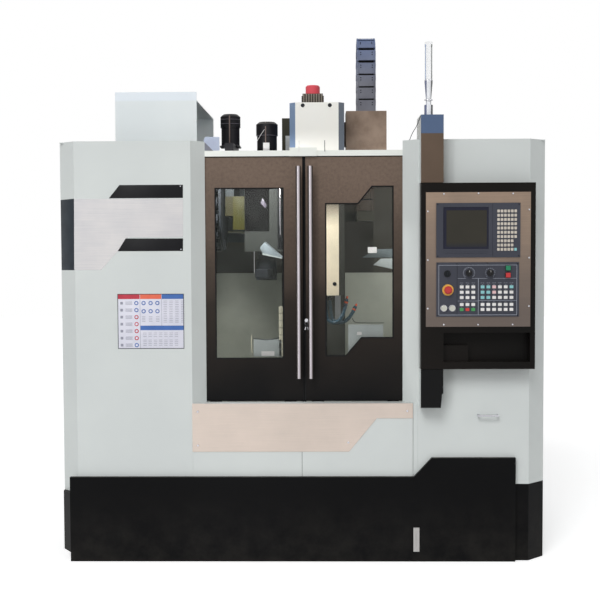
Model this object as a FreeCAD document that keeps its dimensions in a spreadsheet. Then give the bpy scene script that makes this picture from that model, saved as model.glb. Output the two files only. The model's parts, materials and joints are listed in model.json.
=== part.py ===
import FreeCAD, Part
import math
import os
import re

import Sketcher

# A vertical machining centre: a bed and column casting inside a sheet enclosure with two sliding
# doors, a swinging control pendant, three driven axes, a spindle and a side-mounted tool changer.
# Millimetres. X to the right, Y away from the operator, Z up, origin on the floor under the
# middle of the whole machine.

SIZES = {
    # overall
    "total_width": 2500, "total_depth": 2300, "front_reach": 142, "roof_height": 2160,
    "sheet": 4, "slack": 0.3, "run_clear": 0.05,
    # front enclosure
    "bevel_width": 90, "bevel_depth": 88, "left_inner_edge": 565, "right_inner_edge": 593,
    "door_bevel_left": 67, "door_bevel_right": 74, "door_bevel_depth": 68, "wing_depth": 700,
    "left_wing_bottom": 352, "right_wing_bottom": 398, "wing_flange": 60, "side_panel_depth": 1500,
    "side_panel_bottom": 352, "rear_gap": 190,
    "seam_x": 9, "seam_gap": 2, "panel_bottom": 300, "ledge_height": 815, "filler_width": 20,
    "sill_bottom": 566, "sill_step": 738, "sill_step_x": 382, "sill_slope": 142, "sill_thick": 3,
    "sill_side": 566,
    # plinth
    "plinth_proud": 25, "plinth_in_left": 51, "plinth_in_right": 160, "plinth_top": 438,
    "plinth_raised": 536, "plinth_step_x": 571, "plinth_slope": 92, "plinth_bevel": 60,
    "toe_gap": 45, "gauge_x": 568, "gauge_width": 30, "gauge_low": 54, "gauge_high": 177,
    "gauge_thick": 9, "gauge_window": 8, "gauge_screw": 5,
    # doors
    "door_face": 75, "door_thick": 30, "door_bottom": 819, "door_top": 2082, "door_lap": 22,
    "door_gap": 3, "door_skin": 3, "door_border": 26, 
    "pane_thick": 8, "pane_inset": 3, "window_left": 446, "window_right": 96,
    "window_bottom": 1041, "window_top": 1920, "view_left": 124, "view_right": 470,
    "view_low": 1053, "view_high": 1927, "view_shoulder": 1839, "view_step_in": 166,
    "view_step": 70, "view_foot": 1147, "view_foot_in": 102, "view_foot_slope": 81,
    "handle_radius": 13.5, "handle_low": 941, "handle_high": 2030, "handle_out": 42,
    "handle_inset": 25, "handle_post": 9, "handle_post_in": 120, "lock_radius": 11,
    "lock_height": 1238, "lock_proud": 14, "lock_inset": 14,
    # door guides
    "rail_reach": 1025, "rail_size": 12, "header_height": 2113, "header_depth": 60,
    "hanger_length": 60, "hanger_inset": 70, "hanger_wall": 5, "switch_width": 140,
    "switch_height": 44, "switch_depth": 10, "beam_top": 803,
    # pendant and its posts
    "pendant_left": 599, "pendant_width": 572, "pendant_low": 1001, "pendant_high": 1935,
    "pendant_depth": 90, "pendant_back": 10, "pendant_edge": 25, "plate_low": 1215,
    "plate_high": 1888, "plate_thick": 3, "tray_left": 713, "tray_low": 1036, "tray_high": 1184,
    "tray_depth": 75, "tray_step_width": 128, "tray_step_height": 82, "tray_step_depth": 40,
    "pivot_x": 620, "pivot_depth": 35, "pivot_radius": 10, "pivot_length": 15, "pivot_gap": 2,
    "post_width": 113, "post_hook": 150, "post_top": 2274, "post_low": 805, "post_taper": 6,
    "post_step": 875, "post_corner": 12,
    # display unit and operator panel
    "display_left": 675, "display_width": 418, "display_low": 1562, "display_high": 1834,
    "display_thick": 9, "screen_left": 709, "screen_right": 935, "screen_low": 1605,
    "screen_high": 1814, "screen_sink": 5, "screen_rim": 16, "glass_thick": 3,
    "key_left": 984, "key_top": 1793, "key_pitch_x": 17, "key_pitch_z": 21.2, "key_width": 13.5,
    "key_height": 15, "key_rise": 2, "soft_pitch": 22, "soft_low": 1588,
    "panel_left": 676, "panel_width": 412, "panel_low": 1266, "panel_high": 1538,
    "panel_thick": 7, "button_left": 802, "button_right": 906, "button_pitch": 28.8,
    "button_size": 20, "button_rise": 2, "button_row_high": 1415, "button_row_pitch": 26.5,
    "button_row_low": 1327, "row_low_pitch": 25,
    "stop_x": 733, "stop_z": 1400, "stop_head": 20, "stop_ring": 29, "stop_stem": 9,
    "stop_travel": 7, "ring_thick": 4, "stop_length": 20,
    "lock_switch_x": 730, "lock_switch_z": 1481, "lock_switch_radius": 13,
    "mode_x": 838, "mode_z": 1485, "feed_x": 944, "dial_radius": 31, "knob_radius": 14,
    "knob_length": 17, "knob_stem": 4, "dial_thick": 2,
    "green_x": 1032, "green_z": 1509, "red_z": 1474, "press_size": 23, "press_length": 9,
    "press_travel": 4, "press_stem": 6, "round_x": 713, "round_pitch": 42, "round_z": 1309,
    "round_radius": 14,
    # lamp, pull handle
    "lamp_x": 641, "lamp_depth": 50, "lamp_radius": 20.5, "lamp_top": 2641, "lens_low": 2451,
    "collar_low": 2353, "neck_low": 2326, "neck_radius": 13, "lamp_foot": 21.5,
    "pull_left": 894, "pull_width": 107, "pull_height": 755, "pull_radius": 5, "pull_out": 28,
    # castings
    "spindle_x": 50, "spindle_depth": 720, "bed_width": 660, "bed_front": 200, "bed_back": 1858,
    "bed_low": 60, "bed_top": 600, "bed_wall": 30, "trough_half": 60, "trough_low": 440,
    "foot_radius": 60, "foot_height": 22, "foot_stud": 14, "foot_inset": 80,
    "column_front": 1270, "column_back": 1850, "column_half": 190, "column_top": 2400,
    "column_shoulder": 1250, "column_toe": 760, "column_taper": 250, "column_slot": 65,
    "column_slot_depth": 80, "slot_low": 1120, "slot_high": 2330, "column_window": 110,
    # linear guides and screws
    "guide_width": 35, "guide_height": 30, "guide_half_y": 230, "guide_half_x": 160,
    "guide_half_z": 150, "guide_lip": 6, "screw_radius": 20, "journal_radius": 15,
    "screw_y_height": 500, "screw_x_height": 705, "screw_z_offset": 25, "nut_half": 45,
    "nut_length": 120, "motor_half": 55, "motor_length": 112,
    "guide_y_front": 212, "guide_y_back": 1230, "guide_z_low": 1135, "guide_z_high": 2290,
    # saddle and table
    "saddle_low": 640, "saddle_top": 720, "saddle_half": 260, "saddle_wing": 620,
    "saddle_depth": 500, "saddle_web": 45, "carriage_half": 45, "carriage_length": 100,
    "carriage_spread_y": 190, "carriage_spread_x": 160, "saddle_trough": 50,
    "saddle_trough_low": 660,
    "table_low": 765, "table_top": 880, "table_half": 500, "table_depth": 500,
    "slot_count": 5, "slot_pitch": 100, "slot_width": 18, "slot_depth": 26, "slot_foot": 30,
    "slot_foot_height": 12, "table_edge": 60, "gutter": 16,
    # head and spindle
    "head_half": 110, "head_low": 1351, "head_high": 1900, "head_back": 1230, "head_front": 610,
    "carriage_z_low": 1430, "carriage_z_high": 1760, "cover_left": 124, "cover_right": 180,
    "cover_front": 560, "cover_back": 1160, "cover_low": 1342, "cover_high": 2414,
    "cover_bevel": 32, "motor_case_half": 90, "motor_case_high": 2330,
    "quill_radius": 78, "quill_low": 1275, "nose_low": 1250, "nose_radius": 44,
    "nose_bore": 22, "bore_depth": 93, "taper_top": 14, "spindle_high": 1840, "drive_key": 16,
    "chain_box_gap": 14, "chain_box_width": 233, "chain_box_low": 2164,
    "chain_box_high": 2391, "chain_box_front": 800, "chain_box_depth": 200,
    # energy chain
    "link_pitch": 71, "link_width": 106, "link_height": 58, "link_wall": 7, "bend_radius": 120,
    "chain_inset": 67, "chain_back": 70, "front_links": 4, "bend_links": 6, "rear_links": 12,
    "chain_anchor": 60,
    # Z drive on top of the column
    "drive_plate": 22, "drive_half": 68, "drive_length": 123, "drive_fin": 6, "cap_radius": 44,
    "cap_height": 55, "fin_pitch": 12, "fin_count": 9,
    # tool changer
    "arm_x": 215, "arm_radius": 265, "arm_low": 1450, "arm_thick": 40, "hub_radius": 60,
    "hub_low": 1426, "hub_high": 1540, "arm_width": 70, "grip_radius": 32, "grip_wall": 16, "grip_mouth": 20,
    "shaft_radius": 30, "shaft_high": 1700, "sleeve_radius": 50, "sleeve_low": 1545,
    "sleeve_high": 1760, "gear_half": 115, "gear_low": 1590, "gear_high": 2130,
    "gear_front": 600, "bracket_front": 1069, "bracket_depth": 70, "bracket_low": 1640,
    "bracket_high": 1980, "bracket_root": 100, "bracket_pad": 6,
    "arm_motor_radius": 63, "arm_motor_high": 2339, "motor_cap": 78, "mag_motor_x": 428,
    "mag_motor_radius": 58, "mag_motor_low": 2200, "mag_motor_high": 2385, "motor_row": 900,
    "gear_case_half": 36, "gear_case_low": 1790, "gear_case_front": 640,
    "disc_x": 450, "disc_thick": 14, "disc_height": 1860, "pot_circle": 240, "pot_count": 16,
    "pot_radius": 31, "pot_length": 110, "pot_bore": 22, "disc_edge": 268, "disc_shaft": 28,
    "pot_gap": 6, "pot_pin": 8, "pot_pivot": 16,
    "trunnion": 6, "ear_near": 36, "ear_far": 44, "drive_gap": 9,
    "mag_left": 1013, "mag_right": 571, "mag_front": 390, "mag_back": 1374, "mag_low": 1500,
    "mag_side": 2410, "mag_high": 2455,
    # splash walls
    "wall_left": 900, "wall_right": 1000, "wall_front": 110, "wall_back": 1240,
    "tray_height": 560, "wall_high": 2060, "wall_mid": 1450, "wall_notch": 370,
    # electrical cabinet
    "cabinet_left": 350, "cabinet_right": 450, "cabinet_front": 1872, "cabinet_low": 500,
    "cabinet_high": 2100, "cabinet_door": 12, "hinge_radius": 6, "hinge_pin": 3, "cabinet_lug": 100,
    "knuckle": 80,
}

doc = FreeCAD.newDocument("MachiningCentre")
sheet = doc.addObject("Spreadsheet::Sheet", "Sizes")
for row, (alias, value) in enumerate(SIZES.items(), start=1):
    sheet.set(f"A{row}", alias)
    sheet.set(f"B{row}", str(value))
    sheet.setAlias(f"B{row}", alias)
doc.recompute()

NODES = []


def bound(text):
    """A formula with each size's name pointing at its cell."""
    return re.sub(r"[a-z][a-z_]*", lambda m: f"Sizes.{m[0]}" if m[0] in SIZES else m[0], text)


def number(text):
    """The value of a formula now."""
    return float(sheet.evalExpression(bound(text)))


def depth(text):
    """Y of a place that lies behind the cabinet fronts by the formula's value."""
    return f"front_reach - total_depth / 2 + ({text})"


def place(thing, low, turn=None):
    if turn:
        axis, angle = turn
        thing.Placement = FreeCAD.Placement(FreeCAD.Vector(), FreeCAD.Rotation(axis, angle))
    for letter, text in zip("xyz", low):
        thing.setExpression(f"Placement.Base.{letter}", bound(text))
    return thing


def box(name, low, high):
    """A block between two corners."""
    block = doc.addObject("Part::Box", name)
    for side, near, far in zip(("Length", "Width", "Height"), low, high):
        block.setExpression(side, bound(f"({far}) - ({near})"))
    return place(block, low)


TURNS = {
    "z": None,
    "x": (FreeCAD.Vector(0, 1, 0), 90),
    "-x": (FreeCAD.Vector(0, 1, 0), -90),
    "y": (FreeCAD.Vector(1, 0, 0), -90),
    "-y": (FreeCAD.Vector(1, 0, 0), 90),
}


def rod(name, base, radius, length, along="z", sides=None):
    """A cylinder, or a prism where a number of sides is given."""
    kind = "Part::Prism" if sides else "Part::Cylinder"
    solid = doc.addObject(kind, name)
    if sides:
        solid.Polygon = sides
        solid.setExpression("Circumradius", bound(radius))
    else:
        solid.setExpression("Radius", bound(radius))
    solid.setExpression("Height", bound(length))
    return place(solid, base, TURNS[along])


def ring_sketch(body, plane, rings):
    sketch = body.newObject("Sketcher::SketchObject", f"{body.Name}_outline")
    support = next(f for f in body.Origin.OriginFeatures if f.Role == plane)
    sketch.AttachmentSupport = [(support, "")]
    sketch.MapMode = "FlatFace"
    for ring in rings:
        first = sketch.GeometryCount
        spots = [FreeCAD.Vector(number(u), number(v), 0) for u, v in ring]
        for i, spot in enumerate(spots):
            sketch.addGeometry(Part.LineSegment(spot, spots[(i + 1) % len(spots)]), False)
        for i in range(len(ring)):
            following = first + (i + 1) % len(ring)
            sketch.addConstraint(Sketcher.Constraint("Coincident", first + i, 2, following, 1))
        for i, corner in enumerate(ring):
            for kind, text in zip(("DistanceX", "DistanceY"), corner):
                limit = Sketcher.Constraint(kind, -1, 1, first + i, 1, number(text))
                index = sketch.addConstraint(limit)
                sketch.setExpression(f"Constraints[{index}]", bound(text))
    return sketch


def prism(name, plane, rings, start, end):
    """A padded outline: plane XY runs up Z, XZ runs back along Y and YZ runs along X."""
    body = doc.addObject("PartDesign::Body", name)
    sketch = ring_sketch(body, f"{plane}_Plane", rings)
    pad = body.newObject("PartDesign::Pad", f"{name}_pad")
    pad.Profile = sketch
    pad.setExpression("Length", bound(f"({end}) - ({start})"))
    pad.Reversed = plane == "XZ"
    axis = {"XY": 2, "XZ": 1, "YZ": 0}[plane]
    low = ["0", "0", "0"]
    low[axis] = start
    body.Tip = pad
    return place(body, low)


def turned(name, ring, base, along="z"):
    """A revolved profile of (radius, height) points."""
    body = doc.addObject("PartDesign::Body", name)
    sketch = ring_sketch(body, "XZ_Plane", [ring])
    spin = body.newObject("PartDesign::Revolution", f"{name}_turn")
    spin.Profile = sketch
    spin.ReferenceAxis = (sketch, ["V_Axis"])
    spin.Angle = 360
    body.Tip = spin
    return place(body, base, TURNS[along])


def fuse(name, *parts):
    joined = doc.addObject("Part::MultiFuse", name)
    joined.Shapes = list(parts)
    joined.Refine = True
    return joined


def cut(name, base, *tools):
    removed = tools[0] if len(tools) == 1 else fuse(f"{name}_tools", *tools)
    left = doc.addObject("Part::Cut", name)
    left.Base = base
    left.Tool = removed
    left.Refine = True
    return left


def group(name, *parts):
    """Separate solids that share a node."""
    together = doc.addObject("Part::Compound", name)
    together.Links = list(parts)
    return together


def node(thing, label):
    thing.Label = label
    NODES.append(thing)
    return thing


HALF = "total_width / 2"
PLINTH_LEFT = f"{HALF} - plinth_in_left"
PLINTH_RIGHT = f"{HALF} - plinth_in_right"
SPIN_Y = depth("spindle_depth")


def wing(name, side, edge, bevel, bottom):
    """One front cabinet: a folded sheet with an outer and an inner bevel, and a roof flange."""
    s = f"{side} * "
    bend = 0.414
    inner = f"({edge} - {bevel})"
    outside = [
        (f"{s}({HALF})", depth("wing_depth")),
        (f"{s}({HALF})", depth("bevel_depth")),
        (f"{s}({HALF} - bevel_width)", depth("0")),
        (f"{s}{edge}", depth("0")),
        (f"{s}{inner}", depth("door_bevel_depth")),
    ]
    inside = [
        (f"{s}({inner} + 1.414 * sheet)", depth("door_bevel_depth")),
        (f"{s}({edge} + {bend} * sheet)", depth("sheet")),
        (f"{s}({HALF} - bevel_width - {bend} * sheet)", depth("sheet")),
        (f"{s}({HALF} - sheet)", depth(f"bevel_depth + {bend} * sheet")),
        (f"{s}({HALF} - sheet)", depth("wing_depth")),
    ]
    skin = prism(f"{name}_skin", "XY", [outside + inside], bottom, "roof_height")
    flange = prism(f"{name}_flange", "XY", [[
        outside[1], outside[2], outside[3],
        (f"{s}({edge} - wing_flange * {bevel} / door_bevel_depth)", depth("wing_flange")),
        (f"{s}({HALF} - sheet)", depth("wing_flange")),
        (f"{s}({HALF} - sheet)", depth("bevel_depth")),
    ]], "roof_height - sheet", "roof_height")
    return node(fuse(name, skin, flange), name)


def front_cabinets():
    wing("left_wing", "-1", "left_inner_edge", "door_bevel_left", "left_wing_bottom")
    wing("right_wing", "1", "right_inner_edge", "door_bevel_right", "right_wing_bottom")
    panels = []
    for side, s in (("left", "-1"), ("right", "1")):
        near = f"{s} * ({HALF})"
        far = f"{s} * ({HALF} - sheet)"
        edges = (near, far) if s == "-1" else (far, near)
        panels.append(box(f"{side}_panel", (edges[0], depth("wing_depth"), "side_panel_bottom"),
                          (edges[1], depth("side_panel_depth"), "roof_height")))
        inner = f"spindle_x + {s} * (column_half + rear_gap)"
        outer = f"{s} * ({HALF} - sheet)"
        edges = (outer, inner) if s == "-1" else (inner, outer)
        panels.append(box(f"{side}_rear",
                          (edges[0], depth("side_panel_depth - sheet"), "side_panel_bottom"),
                          (edges[1], depth("side_panel_depth"), "roof_height")))
    node(group("outer_panels", *panels), "outer_panels")


def bevel_zone(name, side, edge, bevel):
    """The room a cabinet's inner bevel takes, for trimming what runs past it."""
    x = f"{side} * ({edge} - 1)"
    inner = f"{side} * ({edge} - {bevel} - 1)"
    outer = f"{side} * ({edge} + {bevel})"
    back = "door_bevel_depth + header_depth"
    return prism(name, "XY", [[
        (outer, depth("-1")), (x, depth("-1")), (x, depth("0")), (inner, depth("door_bevel_depth")),
        (inner, depth(back)), (outer, depth(back)),
    ]], "0", "roof_height")


def front_panels():
    """The lower front sheets between the cabinets, each folded back and down under the doors."""
    back = "door_face - 3"
    profile = [
        (depth("0"), "panel_bottom"), (depth("sheet"), "panel_bottom"),
        (depth("sheet"), "ledge_height - sheet"),
        (depth(f"{back} - sheet"), "ledge_height - sheet"),
        (depth(f"{back} - sheet"), "beam_top - sheet"), (depth(back), "beam_top - sheet"),
        (depth(back), "ledge_height"), (depth("0"), "ledge_height"),
    ]
    seam = "seam_x - 11"
    right = "right_inner_edge - sheet - filler_width"
    spans = [
        ("-left_inner_edge", f"{seam} - seam_gap / 2"),
        (f"{seam} + seam_gap / 2", f"{right} - seam_gap"),
        (right, "right_inner_edge"),
    ]
    zones = [
        bevel_zone("left_bevel_zone", "-1", "left_inner_edge", "door_bevel_left"),
        bevel_zone("right_bevel_zone", "1", "right_inner_edge", "door_bevel_right"),
    ]
    sheets = [
        cut(f"front_panel_{i}", prism(f"front_sheet_{i}", "YZ", [profile], *span), *zones)
        for i, span in enumerate(spans)
    ]
    node(group("front_panels", *sheets), "front_panels")
    edge = f"{right} - seam_gap"
    plate = prism("sill_plate", "XZ", [[
        ("-sill_side", "sill_bottom"), ("sill_step_x - sill_slope", "sill_bottom"),
        ("sill_step_x", "sill_step"), (edge, "sill_step"), (edge, "ledge_height"),
        ("-sill_side", "ledge_height"),
    ]], depth("-sill_thick"), depth("0"))
    node(plate, "sill_plate")


def plinth():
    """The black skirt: a folded front tray with a raised right end, and two side skirts."""
    def front(grow, low, name, start, end):
        outline = [
            (f"-({PLINTH_LEFT}) + {grow}", low), (f"{PLINTH_RIGHT} - {grow}", low),
            (f"{PLINTH_RIGHT} - {grow}", f"plinth_raised - {grow}"),
            (f"plinth_step_x + plinth_slope + 0.4 * {grow}", f"plinth_raised - {grow}"),
            (f"plinth_step_x + 0.4 * {grow}", f"plinth_top - {grow}"),
            (f"-({PLINTH_LEFT}) + {grow}", f"plinth_top - {grow}"),
        ]
        return prism(name, "XZ", [outline], depth(start), depth(end))

    tray = cut("plinth_tray", front("0", "0", "plinth_front", "-plinth_proud", "0"),
               front("sheet", "sheet", "plinth_hollow", "sheet - plinth_proud", "1"))
    left = prism("plinth_left_skirt", "XY", [[
        (f"2 - ({PLINTH_LEFT})", depth("5 - plinth_proud")), (f"-{HALF}", depth("plinth_bevel")),
        (f"-{HALF}", depth("side_panel_depth")), (f"sheet - {HALF}", depth("side_panel_depth")),
        (f"sheet - {HALF}", depth("plinth_bevel + 1")),
        (f"sheet - 1 - ({PLINTH_LEFT})", depth("11 - plinth_proud")),
    ]], "toe_gap", "left_wing_bottom - slack")
    right = prism("plinth_right_skirt", "XY", [[
        (f"{PLINTH_RIGHT} - sheet / 2", depth("0")), (f"{HALF} - bevel_width", depth("0")),
        (HALF, depth("bevel_depth")), (HALF, depth("wing_depth")),
        (f"{HALF} - sheet", depth("wing_depth")),
        (f"{HALF} - sheet", depth("bevel_depth + 0.414 * sheet")),
        (f"{HALF} - bevel_width - 0.414 * sheet", depth("sheet")),
        (f"{PLINTH_RIGHT} - sheet / 2", depth("sheet")),
    ]], "0", "right_wing_bottom - slack")
    rear = box("plinth_right_rear", (f"{HALF} - sheet", depth("wing_depth - 1"), "0"),
               (HALF, depth("side_panel_depth"), "side_panel_bottom - slack"))
    riser = box("plinth_riser",
                (f"{PLINTH_RIGHT} - sheet", depth("-sheet / 2"), "0"),
                (PLINTH_RIGHT, depth("sheet"), "right_wing_bottom - slack"))
    node(fuse("plinth", tray, left, right, rear, riser), "plinth")

    face = "-plinth_proud - gauge_thick"
    body = box("gauge_body", ("gauge_x", depth(face), "gauge_low"),
               ("gauge_x + gauge_width", depth("-plinth_proud"), "gauge_high"))
    window = box("gauge_slot", ("gauge_x + gauge_width / 2 - gauge_window / 2", depth(f"{face} - 1"),
                                "gauge_low + gauge_width"),
                 ("gauge_x + gauge_width / 2 + gauge_window / 2", depth(f"{face} + 4"),
                  "gauge_high - gauge_width"))
    screws = [
        rod(f"gauge_screw_{i}", ("gauge_x + gauge_width / 2", depth(f"{face} - 3"), at),
            "gauge_screw", "5", "y", sides=6)
        for i, at in enumerate(("gauge_low + gauge_width / 2", "gauge_high - gauge_width / 2"))
    ]
    node(fuse("level_gauge", cut("gauge_case", body, window), *screws), "level_gauge")


def door_guides():
    """The white header, the rails the doors hang from and slide over, and the lower beam."""
    start, end = "-rail_reach", "rail_reach"
    header = prism("header", "YZ", [[
        (depth("door_bevel_depth"), "door_top + 2"),
        (depth("door_bevel_depth + sheet"), "door_top + 2"),
        (depth("door_bevel_depth + sheet"), "header_height - sheet"),
        (depth("door_bevel_depth + header_depth"), "header_height - sheet"),
        (depth("door_bevel_depth + header_depth"), "header_height"),
        (depth("door_bevel_depth"), "header_height"),
    ]], start, end)
    middle = "door_face + door_thick / 2"
    upper = box("upper_rail",
                (start, depth(f"{middle} - rail_size / 2"), "header_height - sheet - rail_size"),
                (end, depth(f"{middle} + rail_size / 2"), "header_height - sheet"))
    switch = box("door_switch",
                 ("seam_x - switch_width / 2", depth("door_bevel_depth - switch_depth"),
                  "header_height + 14 - switch_height"),
                 ("seam_x + switch_width / 2", depth("door_bevel_depth"), "header_height + 14"))
    top = fuse("door_header", header, upper, switch)
    beam = prism("beam", "YZ", [[
        (depth("door_face - 3"), "beam_top - sheet"), (depth("wall_front"), "beam_top - sheet"),
        (depth("wall_front"), "tray_height"), (depth("wall_front + sheet"), "tray_height"),
        (depth("wall_front + sheet"), "beam_top"), (depth("door_face - 3"), "beam_top"),
    ]], start, end)
    lower = box("lower_rail", (start, depth(f"{middle} - rail_size / 2"), "beam_top"),
                (end, depth(f"{middle} + rail_size / 2"), "beam_top + rail_size"))
    node(group("door_rails", top, fuse("door_beam", beam, lower)), "door_rails")


def guide_shoe(name, x, low, high, rail_low, rail_high):
    """A block on a door's edge that straddles its rail."""
    middle = "door_face + door_thick / 2"
    reach = "(rail_size / 2 + slack)"
    block = box(f"{name}_block", (f"{x} - hanger_length / 2", depth(f"{middle} - {reach} - hanger_wall"),
                                  low),
                (f"{x} + hanger_length / 2", depth(f"{middle} + {reach} + hanger_wall"), high))
    slot = box(f"{name}_slot", (f"{x} - hanger_length", depth(f"{middle} - {reach}"), rail_low),
               (f"{x} + hanger_length", depth(f"{middle} + {reach}"), rail_high))
    return cut(name, block, slot)


def grow(points, amount):
    """Moves each corner of a window outwards; signs give each corner's direction."""
    return [(f"{x} + {sx} * ({amount})", f"{z} + {sz} * ({amount})") for x, z, sx, sz in points]


def door(side, left, right, window, handle_x, lock):
    """A hollow leaf with its window, shoes and handle."""
    name = f"door_{side}"
    rect = [(left, "door_bottom"), (right, "door_bottom"), (right, "door_top"), (left, "door_top")]
    skin = prism(f"{name}_leaf", "XZ", [rect, grow(window, "0")],
                 depth("door_face"), depth("door_face + door_thick"))
    inner = [
        (f"{left} + door_border", "door_bottom + door_border"),
        (f"{right} - door_border", "door_bottom + door_border"),
        (f"{right} - door_border", "door_top - door_border"),
        (f"{left} + door_border", "door_top - door_border"),
    ]
    hollow = prism(f"{name}_hollow", "XZ", [inner, grow(window, "door_border / 2")],
                   depth("door_face + door_skin"), depth("door_face + door_thick + 1"))
    pieces = [cut(f"{name}_shell", skin, hollow)]
    for i, x in enumerate((f"{left} + hanger_inset", f"{right} - hanger_inset")):
        pieces.append(guide_shoe(f"{name}_hanger_{i}", x, "door_top",
                                 "header_height - sheet - 2",
                                 "header_height - sheet - rail_size - slack", "header_height"))
        pieces.append(guide_shoe(f"{name}_shoe_{i}", x, "beam_top + 3", "door_bottom",
                                 "beam_top", "beam_top + rail_size + slack"))
    if lock:
        pieces.append(rod(f"{name}_lock", (lock, depth("door_face - lock_proud"), "lock_height"),
                          "lock_radius", "lock_proud + 1", "y"))
    node(fuse(name, *pieces), name)
    pane = prism(f"window_{side}", "XZ", [grow(window, "-slack")],
                 depth("door_face + pane_inset"), depth("door_face + pane_inset + pane_thick"))
    node(pane, f"window_{side}")
    axis = "door_face - handle_out - handle_radius"
    tube = rod(f"{name}_tube", (handle_x, depth(axis), "handle_low"), "handle_radius",
               "handle_high - handle_low")
    posts = [
        rod(f"{name}_post_{i}", (handle_x, depth("door_face - handle_out - 1"), z), "handle_post",
            "handle_out + 1", "y")
        for i, z in enumerate(("handle_low + handle_post_in", "handle_high - handle_post_in"))
    ]
    posts = [cut(f"{name}_post_cut_{i}", post, rod(f"{name}_tube_cut_{i}",
             (handle_x, depth(axis), "handle_low"), "handle_radius", "handle_high - handle_low"))
             for i, post in enumerate(posts)]
    node(group(f"handle_{side}", tube, *posts), f"handle_{side}")


def doors():
    seam = "door_gap / 2"
    pane = [
        ("-window_left", "window_bottom", "-1", "-1"), ("-window_right", "window_bottom", "1", "-1"),
        ("-window_right", "window_top", "1", "1"), ("-window_left", "window_top", "-1", "1"),
    ]
    view = [
        ("view_left", "view_low", "-1", "-1"),
        ("view_left + view_foot_in", "view_low", "0.5", "-1"),
        ("view_left + view_foot_in + view_foot_slope", "view_foot", "0.5", "-1"),
        ("view_right", "view_foot", "1", "-1"), ("view_right", "view_high", "1", "1"),
        ("view_left + view_step_in + view_step", "view_high", "-0.5", "1"),
        ("view_left + view_step_in", "view_shoulder", "-0.5", "1"),
        ("view_left", "view_shoulder", "-1", "1"),
    ]
    left_edge = "-(left_inner_edge - door_bevel_left) - door_lap"
    right_edge = "right_inner_edge - door_bevel_right + door_lap"
    door("left", left_edge, f"seam_x - {seam}", pane, "seam_x - handle_inset", None)
    door("right", f"seam_x + {seam}", right_edge, view, "seam_x + handle_inset + 11",
         "seam_x + lock_inset")


def splash_walls():
    """The inner walls and floor of the machining space."""
    low = "tray_height + sheet"
    left, right = "-wall_left", "wall_right"
    bed_left, bed_right = "spindle_x - bed_width / 2 - slack", "spindle_x + bed_width / 2 + slack"
    front, back = depth("wall_front + sheet"), depth("wall_back")
    tray = prism("chip_tray", "XY", [[
        (left, front), (right, front), (right, back), (bed_right, back),
        (bed_right, depth("bed_front - slack")), (bed_left, depth("bed_front - slack")),
        (bed_left, back),
        (left, back),
    ]], "tray_height", low)
    left_wall = prism("left_wall", "YZ", [[
        (front, low), (back, low), (back, "wall_mid"), (depth("wall_notch"), "wall_mid"),
        (depth("wall_notch"), "wall_high"), (front, "wall_high"),
    ]], left, f"{left} + sheet")
    right_wall = box("right_wall", (f"{right} - sheet", front, low), (right, back, "wall_high"))

    def rear(name, outer, inner, column, top):
        return prism(name, "XZ", [[
            (outer, low), (inner, low), (inner, "bed_top + sheet"), (column, "bed_top + sheet"),
            (column, top), (outer, top),
        ]], back, f"{back} + sheet")

    rear_left = rear("rear_left_wall", left, bed_left, "spindle_x - column_half - 5", "wall_mid")
    rear_right = rear("rear_right_wall", right, bed_right, "spindle_x + column_half + 5",
                      "wall_mid")
    node(group("splash_walls", tray, left_wall, right_wall, rear_left, rear_right), "splash_walls")


def bed():
    """The bed casting: a long box, open below, with a screw trough between its two ways."""
    left, right = "spindle_x - bed_width / 2", "spindle_x + bed_width / 2"
    front, back = depth("bed_front"), depth("bed_back")
    block = box("bed_block", (left, front, "bed_low"), (right, back, "bed_top"))
    trough = box("bed_trough", ("spindle_x - trough_half", depth("bed_front + bed_wall"),
                                "trough_low"),
                 ("spindle_x + trough_half", depth("column_front - bed_wall"), "bed_top + 1"))
    bore = rod("bed_bore", ("spindle_x", depth("bed_front - 1"), "screw_y_height"),
               "journal_radius + run_clear", "bed_wall + 2", "y")
    hollows = []
    for i, (near, far) in enumerate((
            (f"{left} + bed_wall", "spindle_x - trough_half - bed_wall"),
            ("spindle_x + trough_half + bed_wall", f"{right} - bed_wall"))):
        hollows.append(box(f"bed_hollow_{i}", (near, depth("bed_front + bed_wall"), "bed_low - 1"),
                           (far, depth("bed_back - bed_wall"), "bed_top - 2 * bed_wall")))
    spots = [(x, depth(y)) for x in (f"{left} + foot_inset", f"{right} - foot_inset")
             for y in ("bed_front + foot_inset", "(bed_front + bed_back) / 2",
                       "bed_back - foot_inset")]
    bosses = [
        rod(f"foot_boss_{i}", (*spot, "bed_low"), "foot_radius", "bed_top - bed_wall - bed_low")
        for i, spot in enumerate(spots)
    ]
    casting = cut("bed_casting", block, trough, bore, *hollows)
    node(fuse("bed", casting, *bosses), "bed")

    feet = [
        turned(f"foot_{i}", [
            ("0", "0"), ("foot_radius", "0"), ("foot_radius", "foot_height"),
            ("foot_stud", "foot_height + 6"), ("foot_stud", "bed_low"), ("0", "bed_low"),
        ], (*spot, "0"))
        for i, spot in enumerate(spots)
    ]
    node(group("levelling_feet", *feet), "levelling_feet")


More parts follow.
